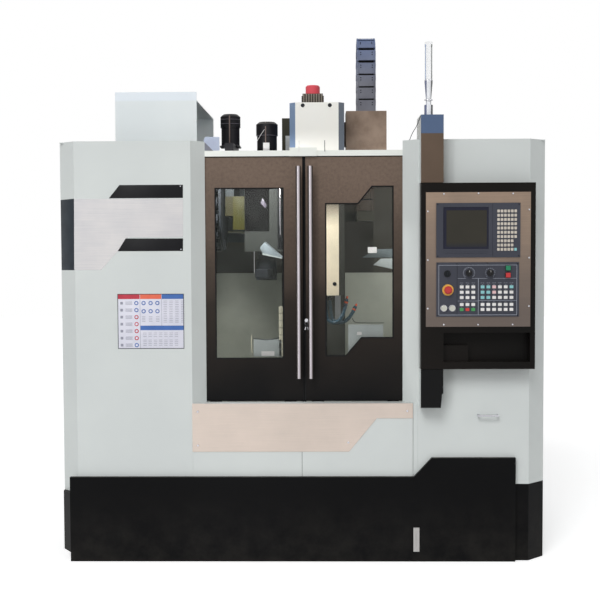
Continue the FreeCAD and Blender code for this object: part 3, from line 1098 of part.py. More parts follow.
def pendant():
    """The control box on its two pivots, with its plate, tray and panels."""
    left, right = "pendant_left", "pendant_left + pendant_width"
    face = "-pendant_back - pendant_depth"
    front, back = depth(face), depth("-pendant_back")
    block = prism("pendant_block", "XY", [[
        (left, front), (right, front), (right, back), (f"{left} + 15", back),
        (f"{left} + 4", depth("-pendant_back - 4")), (left, depth("-pendant_back - 15")),
    ]], "pendant_low", "pendant_high")
    tray = box("tray_pocket", ("tray_left", f"{front} - 1", "tray_low"),
               (f"{right} - pendant_edge", depth(f"{face} + tray_depth"), "tray_high"))
    step = box("tray_step", ("tray_left", depth(f"{face} + tray_depth - tray_step_depth"), "tray_low"),
               ("tray_left + tray_step_width", depth(f"{face} + tray_depth + 1"),
                "tray_low + tray_step_height"))
    bores = [
        rod(f"pivot_bore_{i}", ("pivot_x", depth("-pivot_depth"), z), "pivot_radius + run_clear",
            "pivot_length + 2")
        for i, z in enumerate(("pendant_low - 1", "pendant_high - pivot_length - 1"))
    ]
    presses = [
        ("stop_x", "stop_z", "stop_stem"), ("green_x", "green_z", "press_stem"),
        ("green_x", "red_z", "press_stem"), ("round_x", "round_z", "press_stem"),
        ("round_x + round_pitch", "round_z", "press_stem"),
    ]
    wells = [
        [rod(f"{name}_well_{i}", (x, depth(f"{face} - plate_thick - 1"), z), f"{radius} + slack",
             f"plate_thick + {deep} + 1", "y") for i, (x, z, radius) in enumerate(presses)]
        for name, deep in (("plate", "1"), ("housing", "2 * stop_travel"))
    ]
    body = fuse("pendant_body", cut("pendant_pocketed", block, tray, *bores, *wells[1]), step)
    node(body, "pendant_housing")
    edge = "pendant_edge"
    plate = box("pendant_plate_sheet", (f"{left} + {edge}", depth(f"{face} - plate_thick"), "plate_low"),
                (f"{right} - {edge}", front, "plate_high"))
    node(cut("pendant_plate", plate, *wells[0]), "pendant_plate")

    top = f"{face} - plate_thick"
    display_face = f"{top} - display_thick"
    case = box("display_case", ("display_left", depth(display_face), "display_low"),
               ("display_left + display_width", depth(top), "display_high"))
    well = box("display_well", ("screen_left", depth(f"{display_face} - 1"), "screen_low"),
               ("screen_right", depth(f"{display_face} + screen_sink"), "screen_high"))
    seam = box("display_seam", ("screen_right + 19", depth(f"{display_face} - 1"), "display_low - 1"),
               ("screen_right + 21", depth(f"{display_face} + 2"), "display_high + 1"))

    def keys(name, x, z, width, height, rise, at):
        return box(name, (f"{x} - {width} / 2", depth(f"{at} - {rise}"), f"{z} - {height} / 2"),
                   (f"{x} + {width} / 2", depth(f"{at} + 1"), f"{z} + {height} / 2"))

    pads = []
    for column_index in range(6):
        for row_index in range(10):
            if column_index == 5 and row_index in (7, 8):
                continue
            pads.append(keys(f"key_{column_index}_{row_index}",
                             f"key_left + {column_index} * key_pitch_x",
                             f"key_top - {row_index} * key_pitch_z", "key_width", "key_height",
                             "key_rise", display_face))
    for i in range(10):
        pads.append(keys(f"soft_{i}", f"screen_left + 14 + {i} * soft_pitch", "soft_low",
                         "soft_pitch * 0.7", "key_height * 0.7", "key_rise", display_face))
    node(fuse("display_unit", cut("display_body", case, well, seam), *pads), "display_unit")
    glass = box("display_glass", ("screen_left + screen_rim", depth(f"{display_face} + 2"),
                                  "screen_low + screen_rim / 2"),
                ("screen_right - screen_rim / 2", depth(f"{display_face} + screen_sink"),
                 "screen_high - screen_rim"))
    node(glass, "display_screen")

    panel_face = f"{top} - panel_thick"
    slab = box("operator_slab", ("panel_left", depth(panel_face), "panel_low"),
               ("panel_left + panel_width", depth(top), "panel_high"))
    rows = [f"button_row_high - {i} * button_row_pitch" for i in range(3)]
    rows += [f"button_row_low - {i} * row_low_pitch" for i in range(2)]
    pads = []
    for start, count in (("button_left", 3), ("button_right", 6)):
        for i in range(count):
            for j, z in enumerate(rows):
                pads.append(keys(f"{start}_{i}_{j}", f"{start} + {i} * button_pitch", z,
                                 "button_size", "button_size * 0.8", "button_rise", panel_face))
    ring = rod("stop_ring_disc", ("stop_x", depth(f"{panel_face} - ring_thick"), "stop_z"),
               "stop_ring", "ring_thick", "y")
    dials = [
        rod(f"dial_{i}", (x, depth(f"{panel_face} - dial_thick"), "mode_z"), "dial_radius",
            "dial_thick", "y")
        for i, x in enumerate(("mode_x", "feed_x"))
    ]
    holes = []

    def hole(name, x, z, radius):
        holes.append(rod(f"{name}_hole", (x, depth(f"{panel_face} - 10"), z), f"{radius} + slack",
                         "10 + panel_thick + 1", "y"))

    controls = [
        ("stop", "stop_x", "stop_z", "stop_stem"), ("mode", "mode_x", "mode_z", "knob_stem"),
        ("feed", "feed_x", "mode_z", "knob_stem"), ("green", "green_x", "green_z", "press_stem"),
        ("red", "green_x", "red_z", "press_stem"),
        ("round_left", "round_x", "round_z", "press_stem"),
        ("round_right", "round_x + round_pitch", "round_z", "press_stem"),
        ("lock", "lock_switch_x", "lock_switch_z", "press_stem"),
    ]
    for entry in controls:
        hole(*entry)
    node(cut("operator_board", fuse("operator_blank", slab, ring, *dials, *pads), *holes),
         "operator_panel")

    def control(label, x, z, stem, cap, seat):
        """A cap and its stem; cap is a list of solids and seat is how far it stands off."""
        post = rod(f"{label}_stem", (x, depth(f"{panel_face} - ({seat}) - 1"), z), stem,
                   f"{seat} + 1 + panel_thick - slack", "y")
        node(fuse(label, post, *cap), label)

    head_low = "ring_thick + stop_travel + 1"
    mushroom = turned("stop_mushroom", [
        ("0", "0"), ("stop_head - 4", "0"), ("stop_head", "5"), ("stop_head", "stop_length - 8"),
        ("stop_head - 7", "stop_length"), ("0", "stop_length"),
    ], ("stop_x", depth(f"{panel_face} - ({head_low})"), "stop_z"), "-y")
    control("stop_button", "stop_x", "stop_z", "stop_stem", [mushroom], head_low)
    for label, x in (("mode_knob", "mode_x"), ("feed_knob", "feed_x")):
        start = f"{panel_face} - dial_thick - slack - knob_length"
        grip = rod(f"{label}_grip", (x, depth(start), "mode_z"), "knob_radius", "knob_length", "y")
        bar = box(f"{label}_bar", (f"{x} - 3", depth(f"{start} - 4"), "mode_z - knob_radius"),
                  (f"{x} + 3", depth(f"{start} + 1"), "mode_z + knob_radius"))
        control(label, x, "mode_z", "knob_stem", [grip, bar], "dial_thick + slack")
    for label, z in (("start_button", "green_z"), ("pause_button", "red_z")):
        cap = box(f"{label}_cap", ("green_x - press_size / 2",
                                   depth(f"{panel_face} - press_travel - press_length"),
                                   f"{z} - press_size / 2"),
                  ("green_x + press_size / 2", depth(f"{panel_face} - press_travel - slack"),
                   f"{z} + press_size / 2"))
        control(label, "green_x", z, "press_stem", [cap], "press_travel + slack")
    for label, x in (("round_button_left", "round_x"),
                     ("round_button_right", "round_x + round_pitch")):
        cap = rod(f"{label}_cap", (x, depth(f"{panel_face} - press_travel - press_length"), "round_z"),
                  "round_radius", "press_length - slack", "y")
        control(label, x, "round_z", "press_stem", [cap], "press_travel + slack")
    barrel = rod("lock_barrel", ("lock_switch_x", depth(f"{panel_face} - press_length"),
                                 "lock_switch_z"), "lock_switch_radius", "press_length - slack", "y")
    key = box("lock_key", ("lock_switch_x - 1.5", depth(f"{panel_face} - press_length - 18"),
                           "lock_switch_z - 8"),
              ("lock_switch_x + 1.5", depth(f"{panel_face} - press_length + 1"), "lock_switch_z + 8"))
    control("key_switch", "lock_switch_x", "lock_switch_z", "press_stem", [barrel, key], "slack")


def posts():
    left, right = "pendant_left", "pendant_left + post_width"
    front = depth("-pendant_back - pendant_depth")
    gap = "pivot_gap"
    upper = prism("post_upper", "YZ", [[
        (front, f"pendant_high + {gap}"), (depth("0"), f"pendant_high + {gap}"),
        (depth("0"), "roof_height"), (depth("post_hook"), "roof_height"),
        (depth("post_hook"), "post_top"), (front, "post_top"),
    ]], left, right)
    pin = rod("post_upper_pin", ("pivot_x", depth("-pivot_depth"), "pendant_high - pivot_length"),
              "pivot_radius", f"pivot_length + {gap} + 1")
    high = fuse("post_upper_whole", upper, pin)
    lower = prism("post_lower", "XZ", [[
        (left, "post_low"), (f"{right} - 2 * post_taper", "post_low"),
        (f"{right} - post_taper", "post_step"), (right, "post_step + 3"),
        (right, f"pendant_low - {gap}"), (left, f"pendant_low - {gap}"),
    ]], front, depth("0"))
    pin = rod("post_lower_pin", ("pivot_x", depth("-pivot_depth"), f"pendant_low - {gap} - 1"),
              "pivot_radius", f"pivot_length + {gap} + 1")
    node(group("pendant_posts", high, fuse("post_lower_whole", lower, pin)), "pendant_posts")


def pull_handle():
    y = depth("-pull_out - pull_radius")
    bar = rod("pull_bar", ("pull_left", y, "pull_height"), "pull_radius", "pull_width", "x")
    feet = [
        box(f"pull_foot_{i}", (x, depth("-pull_out"), "pull_height - pull_radius"),
            (f"{x} + 2 * pull_radius", depth("0"), "pull_height + pull_radius"))
        for i, x in enumerate(("pull_left", "pull_left + pull_width - 2 * pull_radius"))
    ]
    node(group("pull_handle", bar, *feet), "pull_handle")


def cabinet():
    """The electrical cabinet behind the column, open to the back, and its hinged door."""
    left, right = "-cabinet_left", "cabinet_right"
    rear = "total_depth / 2"
    seam = f"{rear} - cabinet_door"
    shell = box("cabinet_outside", (left, depth("cabinet_front"), "cabinet_low"),
                (right, seam, "cabinet_high"))
    room = box("cabinet_inside", (f"{left} + sheet", depth("cabinet_front + sheet"),
                                  "cabinet_low + sheet"),
               (f"{right} - sheet", f"{seam} + 1", "cabinet_high - sheet"))
    lugs = [
        box(f"cabinet_lug_{i}", (f"spindle_x + {s} * cabinet_lug * 1.5 - cabinet_lug / 2",
                                 depth("column_back"), "cabinet_low + 2 * cabinet_lug"),
            (f"spindle_x + {s} * cabinet_lug * 1.5 + cabinet_lug / 2",
             depth("cabinet_front + 1"), "cabinet_low + 4 * cabinet_lug"))
        for i, s in enumerate(("-1", "1"))
    ]
    pins, knuckles = [], []
    axis = (f"{left} - hinge_radius", f"{rear} - hinge_radius")
    for i, z in enumerate(("cabinet_low + knuckle", "cabinet_high - 3 * knuckle")):
        pins.append(rod(f"hinge_barrel_{i}", (*axis, z), "hinge_radius", "knuckle"))
        pins.append(rod(f"hinge_pin_{i}", (*axis, f"{z} + 1"), "hinge_pin", "2 * knuckle - 3"))
        pins.append(box(f"hinge_leaf_{i}", (f"{left} - hinge_radius", f"{seam} - 16", z),
                        (f"{left} + 1", f"{seam} - 1", f"{z} + knuckle")))
        pins.append(box(f"hinge_strap_{i}", (f"{left} - hinge_radius - 2", f"{seam} - 2", z),
                        (f"{left} - 1", f"{rear} - hinge_radius", f"{z} + knuckle")))
        knuckles.append(rod(f"door_knuckle_{i}", (*axis, f"{z} + knuckle + slack"), "hinge_radius",
                            "knuckle - slack"))
        knuckles.append(box(f"door_leaf_{i}", (axis[0], f"{rear} - hinge_radius - 2",
                                               f"{z} + knuckle + slack"),
                            (f"{left} + 2", f"{rear} - 2", f"{z} + 2 * knuckle")))
    node(fuse("electrical_cabinet", cut("cabinet_shell", shell, room), *lugs, *pins),
         "electrical_cabinet")
    leaf = box("cabinet_leaf", (f"{left} + 1", f"{seam} + slack", "cabinet_low + 1"),
               (f"{right} - 1", rear, "cabinet_high - 1"))
    bores = [
        rod(f"knuckle_bore_{i}", (*axis, f"{z} + knuckle"), "hinge_pin + run_clear", "knuckle + 1")
        for i, z in enumerate(("cabinet_low + knuckle", "cabinet_high - 3 * knuckle"))
    ]
    node(cut("cabinet_door", fuse("cabinet_door_leaf", leaf, *knuckles), *bores), "cabinet_door")


def build():
    front_cabinets()
    front_panels()
    plinth()
    door_guides()
    doors()
    splash_walls()
    bed()
    column()
    guides()
    screws()
    saddle()
    table()
    drives()
    head()
    energy_chain()
    tool_changer()
    magazine()
    lamp()
    pendant()
    posts()
    pull_handle()
    cabinet()


def export():
    doc.recompute()
    for thing in doc.Objects:
        bad = {"Invalid", "Error"} & set(thing.State)
        if bad:
            raise RuntimeError(f"{thing.Name} ({thing.Label}): {sorted(bad)}")
    os.makedirs("parts", exist_ok=True)
    for thing in NODES:
        shape = thing.Shape
        if shape.isNull() or not shape.isValid():
            raise RuntimeError(f"{thing.Label} has no valid shape")
    for thing in NODES:
        thing.Shape.exportStep(f"parts/{thing.Label}.step")
        size = thing.Shape.BoundBox
        print(f"{thing.Label:22} {len(thing.Shape.Solids):3} solids "
              f"{thing.Shape.Volume / 1e6:9.2f} litres  X {size.XMin:8.1f} {size.XMax:8.1f}"
              f"  Y {size.YMin:8.1f} {size.YMax:8.1f}  Z {size.ZMin:7.1f} {size.ZMax:7.1f}")
    print(len(NODES), "nodes")


build()
export()
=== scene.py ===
# %% [markdown]
# # A vertical machining center
# The real machine is a sheet-steel cabinet round heavy castings: a bed, a column, a head that
# slides up and down, and a table that slides two ways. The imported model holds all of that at
# its true place, so this lesson adds the surfaces and the small things that show from a step
# away. We load the frame first, because every piece below rides on one of its bodies.

# %% Load the frame
import json
import math

import bmesh
import bpy
from mathutils import Matrix, Vector

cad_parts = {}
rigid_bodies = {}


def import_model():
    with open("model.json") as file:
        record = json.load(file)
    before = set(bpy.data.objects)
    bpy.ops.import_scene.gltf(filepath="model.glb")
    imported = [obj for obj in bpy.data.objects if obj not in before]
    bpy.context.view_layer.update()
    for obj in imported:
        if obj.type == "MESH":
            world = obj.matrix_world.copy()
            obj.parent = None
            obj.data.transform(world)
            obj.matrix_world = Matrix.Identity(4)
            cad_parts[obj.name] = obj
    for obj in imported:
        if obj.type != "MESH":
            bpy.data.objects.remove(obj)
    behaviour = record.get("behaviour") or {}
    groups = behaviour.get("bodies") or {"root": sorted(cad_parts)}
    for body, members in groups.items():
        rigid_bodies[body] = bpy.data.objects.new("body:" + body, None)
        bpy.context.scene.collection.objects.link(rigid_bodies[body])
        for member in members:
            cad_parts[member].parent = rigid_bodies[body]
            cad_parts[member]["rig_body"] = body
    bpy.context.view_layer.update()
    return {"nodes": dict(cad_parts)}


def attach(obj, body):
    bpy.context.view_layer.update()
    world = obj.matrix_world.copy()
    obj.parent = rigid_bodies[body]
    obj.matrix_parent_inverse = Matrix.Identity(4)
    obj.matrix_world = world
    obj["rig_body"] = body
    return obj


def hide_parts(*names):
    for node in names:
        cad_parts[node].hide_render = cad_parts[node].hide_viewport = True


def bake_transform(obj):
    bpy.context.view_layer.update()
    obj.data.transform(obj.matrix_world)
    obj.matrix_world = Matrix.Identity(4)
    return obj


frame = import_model()

# %% [markdown]
# Blender works in metres and in linear light, but a workshop drawing is in millimetres and a
# colour is easiest to read as the three numbers on a screen. Two small helpers turn the one
# into the other, so that the rest of the lesson can be written in a maker's own units.

# %% Millimetres and screen colours
def mm(x, y, z):
    return Vector((x, y, z)) / 1000


def tint(red, green, blue):
    def linear(value):
        value /= 255
        return value / 12.92 if value <= 0.04045 else ((value + 0.055) / 1.055) ** 2.4
    return (linear(red), linear(green), linear(blue), 1.0)


def show(thing):
    bpy.context.scene.collection.objects.link(thing)
    return thing


print("one metre and mid grey:", mm(1000, 0, 0)[:], [round(v, 3) for v in tint(128, 128, 128)])

# %% [markdown]
# A material or a geometry tree is a drawing of nodes and wires. The pen below adds a node,
# sets its sockets and returns it, so a tree reads as a short list of steps. It also knows the
# few nodes that every finish or tree needs: a colour mix, a sum, a range, a noise, a place in
# the object and a way to join shapes.

# %% A pen for node trees
class Pen:
    def __init__(self, tree):
        self.tree = tree

    def feed(self, socket, value):
        if isinstance(value, bpy.types.NodeSocket):
            self.tree.links.new(value, socket)
        else:
            socket.default_value = value

    def add(self, kind, sockets=None, **settings):
        node = self.tree.nodes.new(kind)
        for name, value in settings.items():
            setattr(node, name, value)
        for name, value in (sockets or {}).items():
            self.feed(node.inputs[name], value)
        return node

    def mix(self, factor, low, high):
        node = self.add("ShaderNodeMix", {0: factor, 6: low, 7: high}, data_type="RGBA")
        return node.outputs[2]

    def calc(self, operation, first, second=0.0, third=0.0):
        sockets = {0: first, 1: second, 2: third}
        return self.add("ShaderNodeMath", sockets, operation=operation).outputs[0]

    def span(self, value, low, high, start=0.0, end=1.0):
        sockets = {0: value, 1: low, 2: high, 3: start, 4: end}
        return self.add("ShaderNodeMapRange", sockets).outputs[0]

    def noise(self, vector, scale, detail=3.0, rough=0.5):
        sockets = {"Vector": vector, "Scale": scale, "Detail": detail, "Roughness": rough}
        return self.add("ShaderNodeTexNoise", sockets).outputs["Fac"]

    def place(self):
        return self.add("ShaderNodeTexCoord").outputs["Object"]

    def axes(self, vector):
        return self.add("ShaderNodeSeparateXYZ", {0: vector}).outputs

    def at(self, axis):
        """How far along one axis of the object a point lies, in metres."""
        return self.axes(self.place())[axis]

    def facing(self, axis):
        """How squarely a surface faces along one axis: 1 towards its end, -1 away from it."""
        return self.axes(self.add("ShaderNodeNewGeometry").outputs["Normal"])[axis]

    def wavy_height(self, scale, sway):
        """The height shifted by noise, so that a change of tone has no ruled edge."""
        wave = self.calc("MULTIPLY", self.noise(self.place(), scale), sway)
        return self.calc("ADD", self.at("Z"), wave)

    def fade(self, value, start, end, before, after):
        """One colour up to the start, another past the end and a blend in between."""
        return self.mix(self.span(value, start, end), before, after)

    def vector(self, x=0.0, y=0.0, z=0.0):
        return self.add("ShaderNodeCombineXYZ", {0: x, 1: y, 2: z}).outputs[0]

    def join(self, *shapes):
        whole = self.add("GeometryNodeJoinGeometry")
        for shape in shapes:
            self.feed(whole.inputs[0], shape)
        return whole.outputs[0]

    def group(self, tree, **values):
        node = self.add("ShaderNodeGroup", node_tree=tree)
        for label, value in values.items():
            self.feed(node.inputs[label], value)
        return node.outputs


def shader_group(name, takes, gives):
    tree = bpy.data.node_groups.new(name, "ShaderNodeTree")
    for label, kind, value in takes:
        socket = tree.interface.new_socket(label, in_out="INPUT", socket_type="NodeSocket" + kind)
        socket.default_value = value
    for label, kind in gives:
        tree.interface.new_socket(label, in_out="OUTPUT", socket_type="NodeSocket" + kind)
    pen = Pen(tree)
    return pen, pen.add("NodeGroupInput").outputs, pen.add("NodeGroupOutput").inputs


print("the pen can draw trees")

# %% [markdown]
# Powder coat covers most of this machine. It is never one flat colour: it has a fine orange
# peel, and its tone drifts a little over a metre. Several materials need that, so it is one
# shader group with named inputs, and each paint below places it with its own values.

# %% The powder coat group
pen, given, put = shader_group(
    "powder_coat",
    [("Tint", "Color", (1, 1, 1, 1)), ("Shade", "Color", (0, 0, 0, 1)), ("Gloss", "Float", 0.4),
     ("Grain", "Float", 700.0), ("Drift", "Float", 1.6)],
    [("Color", "Color"), ("Roughness", "Float"), ("Height", "Float")])
cloud = pen.noise(pen.place(), given["Drift"], 4.0, 0.55)
peel = pen.noise(pen.place(), given["Grain"], 2.0, 0.6)
pen.feed(put["Color"], pen.fade(cloud, 0.36, 0.7, given["Tint"], given["Shade"]))
drift = pen.calc("MULTIPLY_ADD", cloud, 0.16, -0.08)
rough = pen.calc("MULTIPLY_ADD", peel, 0.1, drift)
pen.feed(put["Roughness"], pen.calc("ADD", rough, given["Gloss"]))
pen.feed(put["Height"], peel)
powder_coat = pen.tree
print("group:", powder_coat.name)

# %% [markdown]
# Dust settles on what faces up, and more of it gathers near the floor. The group looks at the
# surface normal and at the height, breaks the edge with noise and lays a grey film over the
# colour that comes in. It belongs to the object, so it stays put from every side.

# %% The dust group
pen, given, put = shader_group(
    "workshop_dust",
    [("Color", "Color", (1, 1, 1, 1)), ("Dust", "Color", tint(176, 170, 158)),
     ("Amount", "Float", 0.3), ("Low", "Float", 0.0)],
    [("Color", "Color"), ("Mask", "Float")])
up = pen.facing("Z")
floor_band = pen.span(pen.at("Z"), 0.35, 0.0)
film = pen.calc("MAXIMUM", pen.span(up, 0.55, 1.0), pen.calc("MULTIPLY", floor_band, given["Low"]))
spots = pen.span(pen.noise(pen.place(), 9.0, 6.0, 0.65), 0.35, 0.68)
mask = pen.calc("MULTIPLY", pen.calc("MULTIPLY", film, spots), given["Amount"])
pen.feed(put["Color"], pen.mix(mask, given["Color"], given["Dust"]))
pen.feed(put["Mask"], mask)
workshop_dust = pen.tree
print("group:", workshop_dust.name)

# %% [markdown]
# Stainless sheet and ground ways carry fine parallel lines from the grinding belt. A noise
# that is stretched a hundred times along one axis gives them; the input says which axis.

# %% The brushed metal group
pen, given, put = shader_group(
    "brushed_lines",
    [("Tint", "Color", (1, 1, 1, 1)), ("Shade", "Color", (0, 0, 0, 1)), ("Gloss", "Float", 0.3),
     ("Stretch", "Vector", (4.0, 900.0, 900.0))],
    [("Color", "Color"), ("Roughness", "Float"), ("Height", "Float")])
along = pen.add("ShaderNodeVectorMath", {0: pen.place(), 1: given["Stretch"]},
                operation="MULTIPLY").outputs[0]
lines = pen.noise(along, 1.0, 3.0, 0.6)
smear = pen.noise(pen.place(), 3.5, 4.0, 0.6)
tone = pen.calc("MULTIPLY_ADD", lines, 0.55, pen.calc("MULTIPLY", smear, 0.45))
pen.feed(put["Color"], pen.fade(tone, 0.35, 0.66, given["Tint"], given["Shade"]))
pen.feed(put["Roughness"], pen.calc("MULTIPLY_ADD", tone, 0.22, given["Gloss"]))
pen.feed(put["Height"], lines)
brushed_lines = pen.tree
print("group:", brushed_lines.name)

# %% [markdown]
# Now the finishes. Each has its own Principled shader, because a constant such as metallic or
# coat roughness has to sit on the shader's own socket; only what changes over the surface
# comes from the groups. The first helper makes paints, the second makes brushed metals.

# %% Paints and metals
def shader(name, specular=0.5, **constants):
    material = bpy.data.materials.new(name)
    material.use_nodes = True
    surface = material.node_tree.nodes["Principled BSDF"].inputs
    surface["Specular IOR Level"].default_value = specular
    for label, value in constants.items():
        surface[label].default_value = value
    return material, Pen(material.node_tree), surface


def finish(pen, surface, skin, over, dust, low=0.0):
    """Lays the place's own colour and then the dust over a skin, and returns the dust's mask."""
    colour = over(pen, skin["Color"]) if over else skin["Color"]
    film = pen.group(workshop_dust, Color=colour, Amount=dust, Low=low)
    pen.feed(surface["Base Color"], film["Color"])
    return film["Mask"]


def bumped(pen, surface, height, depth):
    sockets = {"Height": height, "Strength": 0.5, "Distance": depth}
    pen.feed(surface["Normal"], pen.add("ShaderNodeBump", sockets).outputs["Normal"])


def coat(name, main, shade, gloss=0.4, grain=700.0, peel=0.00012, dust=0.25, low=0.0,
         drift=1.6, over=None, **constants):
    """A paint; over(pen, colour) may change the colour by place before the dust."""
    material, pen, surface = shader(name, **constants)
    skin = pen.group(powder_coat, Tint=tint(*main), Shade=tint(*shade), Gloss=gloss, Grain=grain,
                     Drift=drift)
    mask = finish(pen, surface, skin, over, dust, low)
    pen.feed(surface["Roughness"], pen.calc("MULTIPLY_ADD", mask, 0.35, skin["Roughness"]))
    bumped(pen, surface, skin["Height"], peel)
    return material


def brushed(name, main, shade, stretch, gloss=0.26, dust=0.0, over=None):
    """A bare metal; stretch is how fast the grinding lines change along each axis."""
    material, pen, surface = shader(name, Metallic=1.0)
    skin = pen.group(brushed_lines, Tint=tint(*main), Shade=tint(*shade), Gloss=gloss,
                     Stretch=stretch)
    finish(pen, surface, skin, over, dust)
    pen.feed(surface["Roughness"], skin["Roughness"])
    bumped(pen, surface, skin["Height"], 0.00006)
    return material


def plastic(name, main, shade, gloss=0.3, **constants):
    return coat(name, main, shade, gloss, 1200.0, 0.00005, 0.0, drift=14.0, **constants)


print("paint and metal makers are ready")

# %% [markdown]
# Some nodes are one casting in the model but wear two finishes, as a red cap on a finned
# drive. The split is a plain place in the object, so the paint is changed where the Object
# coordinate passes a value. A soft width of a millimetre keeps the line clean.

# %% Finishes split by place
def split(axis, edge, colour, width=0.001):
    def over(pen, base):
        return pen.fade(pen.at(axis), edge - width, edge + width, base, colour)
    return over


def door_reflection_fade(pen, base):
    """The gloss doors are painted near black at the foot and brown, mottled, towards the top:
    painted reflections of the ground and the surroundings.
    """
    rise = pen.wavy_height(2.2, 0.35)
    low = pen.fade(rise, 1.0, 1.6, tint(13, 13, 14), tint(54, 47, 42))
    mottle = pen.span(pen.noise(pen.place(), 60.0, 5.0, 0.7), 0.3, 0.75)
    high = pen.mix(mottle, tint(126, 109, 96), tint(106, 91, 82))
    return pen.fade(rise, 1.5, 2.18, low, high)


def cover_faces(pen, base):
    """The head's cover has a cream front and slate bevels that are painted reflections of the sky;
    its lower part, inside the cabinet, is painted darker as painted shade.
    """
    place = pen.axes(pen.place())
    cabinet_shade = pen.span(pen.wavy_height(4.0, 0.08), 2.09, 2.04)
    front = pen.mix(cabinet_shade, base, tint(242, 229, 200))
    # The deepest painted shade, low on the cover's front.
    deep_shade = pen.span(place["Z"], 1.73, 1.85, 0.0, 0.88)
    front = pen.mix(pen.calc("MULTIPLY", cabinet_shade, deep_shade), front, tint(84, 78, 68))
    left = pen.mix(cabinet_shade, tint(130, 152, 184), tint(50, 51, 48))
    right = pen.mix(cabinet_shade, tint(106, 115, 128), tint(46, 45, 39))
    front = pen.fade(place["X"], -0.0415, -0.0425, front, left)
    return pen.fade(place["X"], 0.1975, 0.1985, front, right)


def inner_painted_shade(pen, base):
    """Faces that look towards the machine's middle are painted dark, as painted shade inside the
    cabinet.
    """
    normal = pen.add("ShaderNodeNewGeometry").outputs["Normal"]
    flat = pen.add("ShaderNodeVectorMath", {0: pen.place(), 1: (1, 1, 0)},
                   operation="MULTIPLY").outputs[0]
    inward = pen.add("ShaderNodeVectorMath", {0: normal, 1: flat},
                     operation="DOT_PRODUCT").outputs["Value"]
    shade_tone = pen.mix(pen.noise(pen.place(), 2.4, 4.0), tint(64, 60, 48), tint(86, 80, 66))
    return pen.fade(inward, -0.1, -0.3, base, shade_tone)


def cabinet_front_shade(pen, base):
    """The side of the electrical cabinet that shuts the machine's back is painted dark like the
    walls, as painted shade inside the cabinet.
    """
    facing = pen.facing("Y")
    shade_tone = pen.mix(pen.noise(pen.place(), 3.2, 4.0), tint(48, 44, 35), tint(72, 62, 48))
    return pen.fade(facing, -0.6, -0.8, base, shade_tone)


def post_reflection_fade(pen, base):
    """Black below the pendant; brown beside it and slate blue at its head are painted reflections
    on the black gloss; pale on its left.
    """
    height = pen.at("Z")
    lower = pen.fade(height, 1.0, 1.002, tint(3, 3, 4), base)
    front = pen.fade(height, 2.1805, 2.1825, lower, tint(88, 106, 136))
    aside = pen.facing("X")
    return pen.fade(aside, -0.6, -0.8, front, tint(216, 222, 222))


def stem_reflection_bands(pen, base):
    """The lamp's polished stem has painted reflections of the dark workshop on both its flanks."""
    place = pen.at("X")
    left = pen.fade(place, 0.6315, 0.6285, base, tint(104, 112, 146))
    return pen.fade(place, 0.6495, 0.6525, left, tint(88, 90, 90))


def chain_fade(pen, base):
    """The chain is painted brown near the header, and bluer towards its top as a painted
    reflection of the sky.
    """
    place = pen.at("Z")
    lower = pen.fade(place, 2.2, 2.14, base, tint(74, 62, 50))
    return pen.mix(pen.span(place, 2.55, 2.83, 0.0, 0.8), lower, tint(90, 112, 158))


DOOR_MIDDLE, HANDLE_SPREAD = 0.0145, 0.0305


def handle_reflection_bands(pen, base):
    """Each tube has painted reflections of the dark workshop on both flanks, at one spread from
    the middle.
    """
    place = pen.at("X")
    middle = pen.calc("ABSOLUTE", pen.calc("SUBTRACT", place, DOOR_MIDDLE))
    off = pen.calc("ABSOLUTE", pen.calc("SUBTRACT", middle, HANDLE_SPREAD))
    return pen.fade(off, 0.0025, 0.008, base, tint(86, 80, 78))


def case_olive(pen, base):
    """The disc's drive case is olive on its lower front, and its motor above is black."""
    place = pen.axes(pen.place())
    drum = pen.fade(place["Z"], 2.119, 2.121, base, tint(30, 29, 32))
    front = pen.fade(place["Z"], 1.902, 1.898, drum, tint(50, 47, 20))
    return pen.fade(place["Y"], -0.34, -0.35, drum, front)


def plate_fade(pen, base):
    """The pendant's steel plate is darker towards its foot."""
    rise = pen.wavy_height(2.5, 0.3)
    return pen.mix(pen.span(rise, 2.0, 1.4, 0.0, 0.9), base, tint(96, 88, 84))


def shade_sheet_fade(pen, base):
    """The dark sheet is painted paler in its lower half, as painted light inside the magazine
    cover.
    """
    height = pen.at("Z")
    return pen.fade(height, 2.22, 2.12, base, tint(76, 76, 68))


def wall_shade_fade(pen, base):
    """The inner walls are painted darker above the splash line, as painted shade high in the
    cabinet.
    """
    return pen.fade(pen.wavy_height(3.0, 0.1), 1.62, 1.9, base, tint(84, 81, 73))


print("place rules are ready")

# %% [markdown]
# Each paint is a lighter and a darker tone and a number for how dull it is, followed by what
# sets it apart: grain, dust, or a rule from above. Three whites share one set of values,
# because they are one powder coat; two are painted darker on inner faces as painted shade.

# %% The paints
WHITE = (216, 221, 219), (209, 214, 213), 0.42
white_coat = coat("white_powder_coat", *WHITE, low=0.4, specular=0.35)
# Its inner faces are painted dark as painted shade.
panel_coat = coat("white_panel_coat", *WHITE, low=0.4, over=inner_painted_shade, specular=0.35)
# Its side towards the machine is painted dark as painted shade.
cabinet_coat = coat("white_cabinet_coat", *WHITE, low=0.4, over=cabinet_front_shade, specular=0.3)
cream_coat = coat("pale_header_coat", (244, 247, 241), (236, 239, 232), 0.42, dust=0.1)
magazine_coat = coat("magazine_white_coat", (240, 246, 247), (234, 241, 243), 0.42, dust=0.12,
                     over=split("Z", 2.409, tint(240, 248, 255), 0.006))
black_coat = coat("black_plinth_coat", (15, 15, 16), (11, 11, 12), 0.42, dust=0.12,
                  low=0.24, specular=0.06)
# The doors' dark brown is painted reflection, near black low and brown high.
door_coat = coat("dark_door_gloss", (60, 52, 48), (50, 44, 40), 0.2, peel=0.00005,
                 dust=0.0, over=door_reflection_fade, specular=0.1)
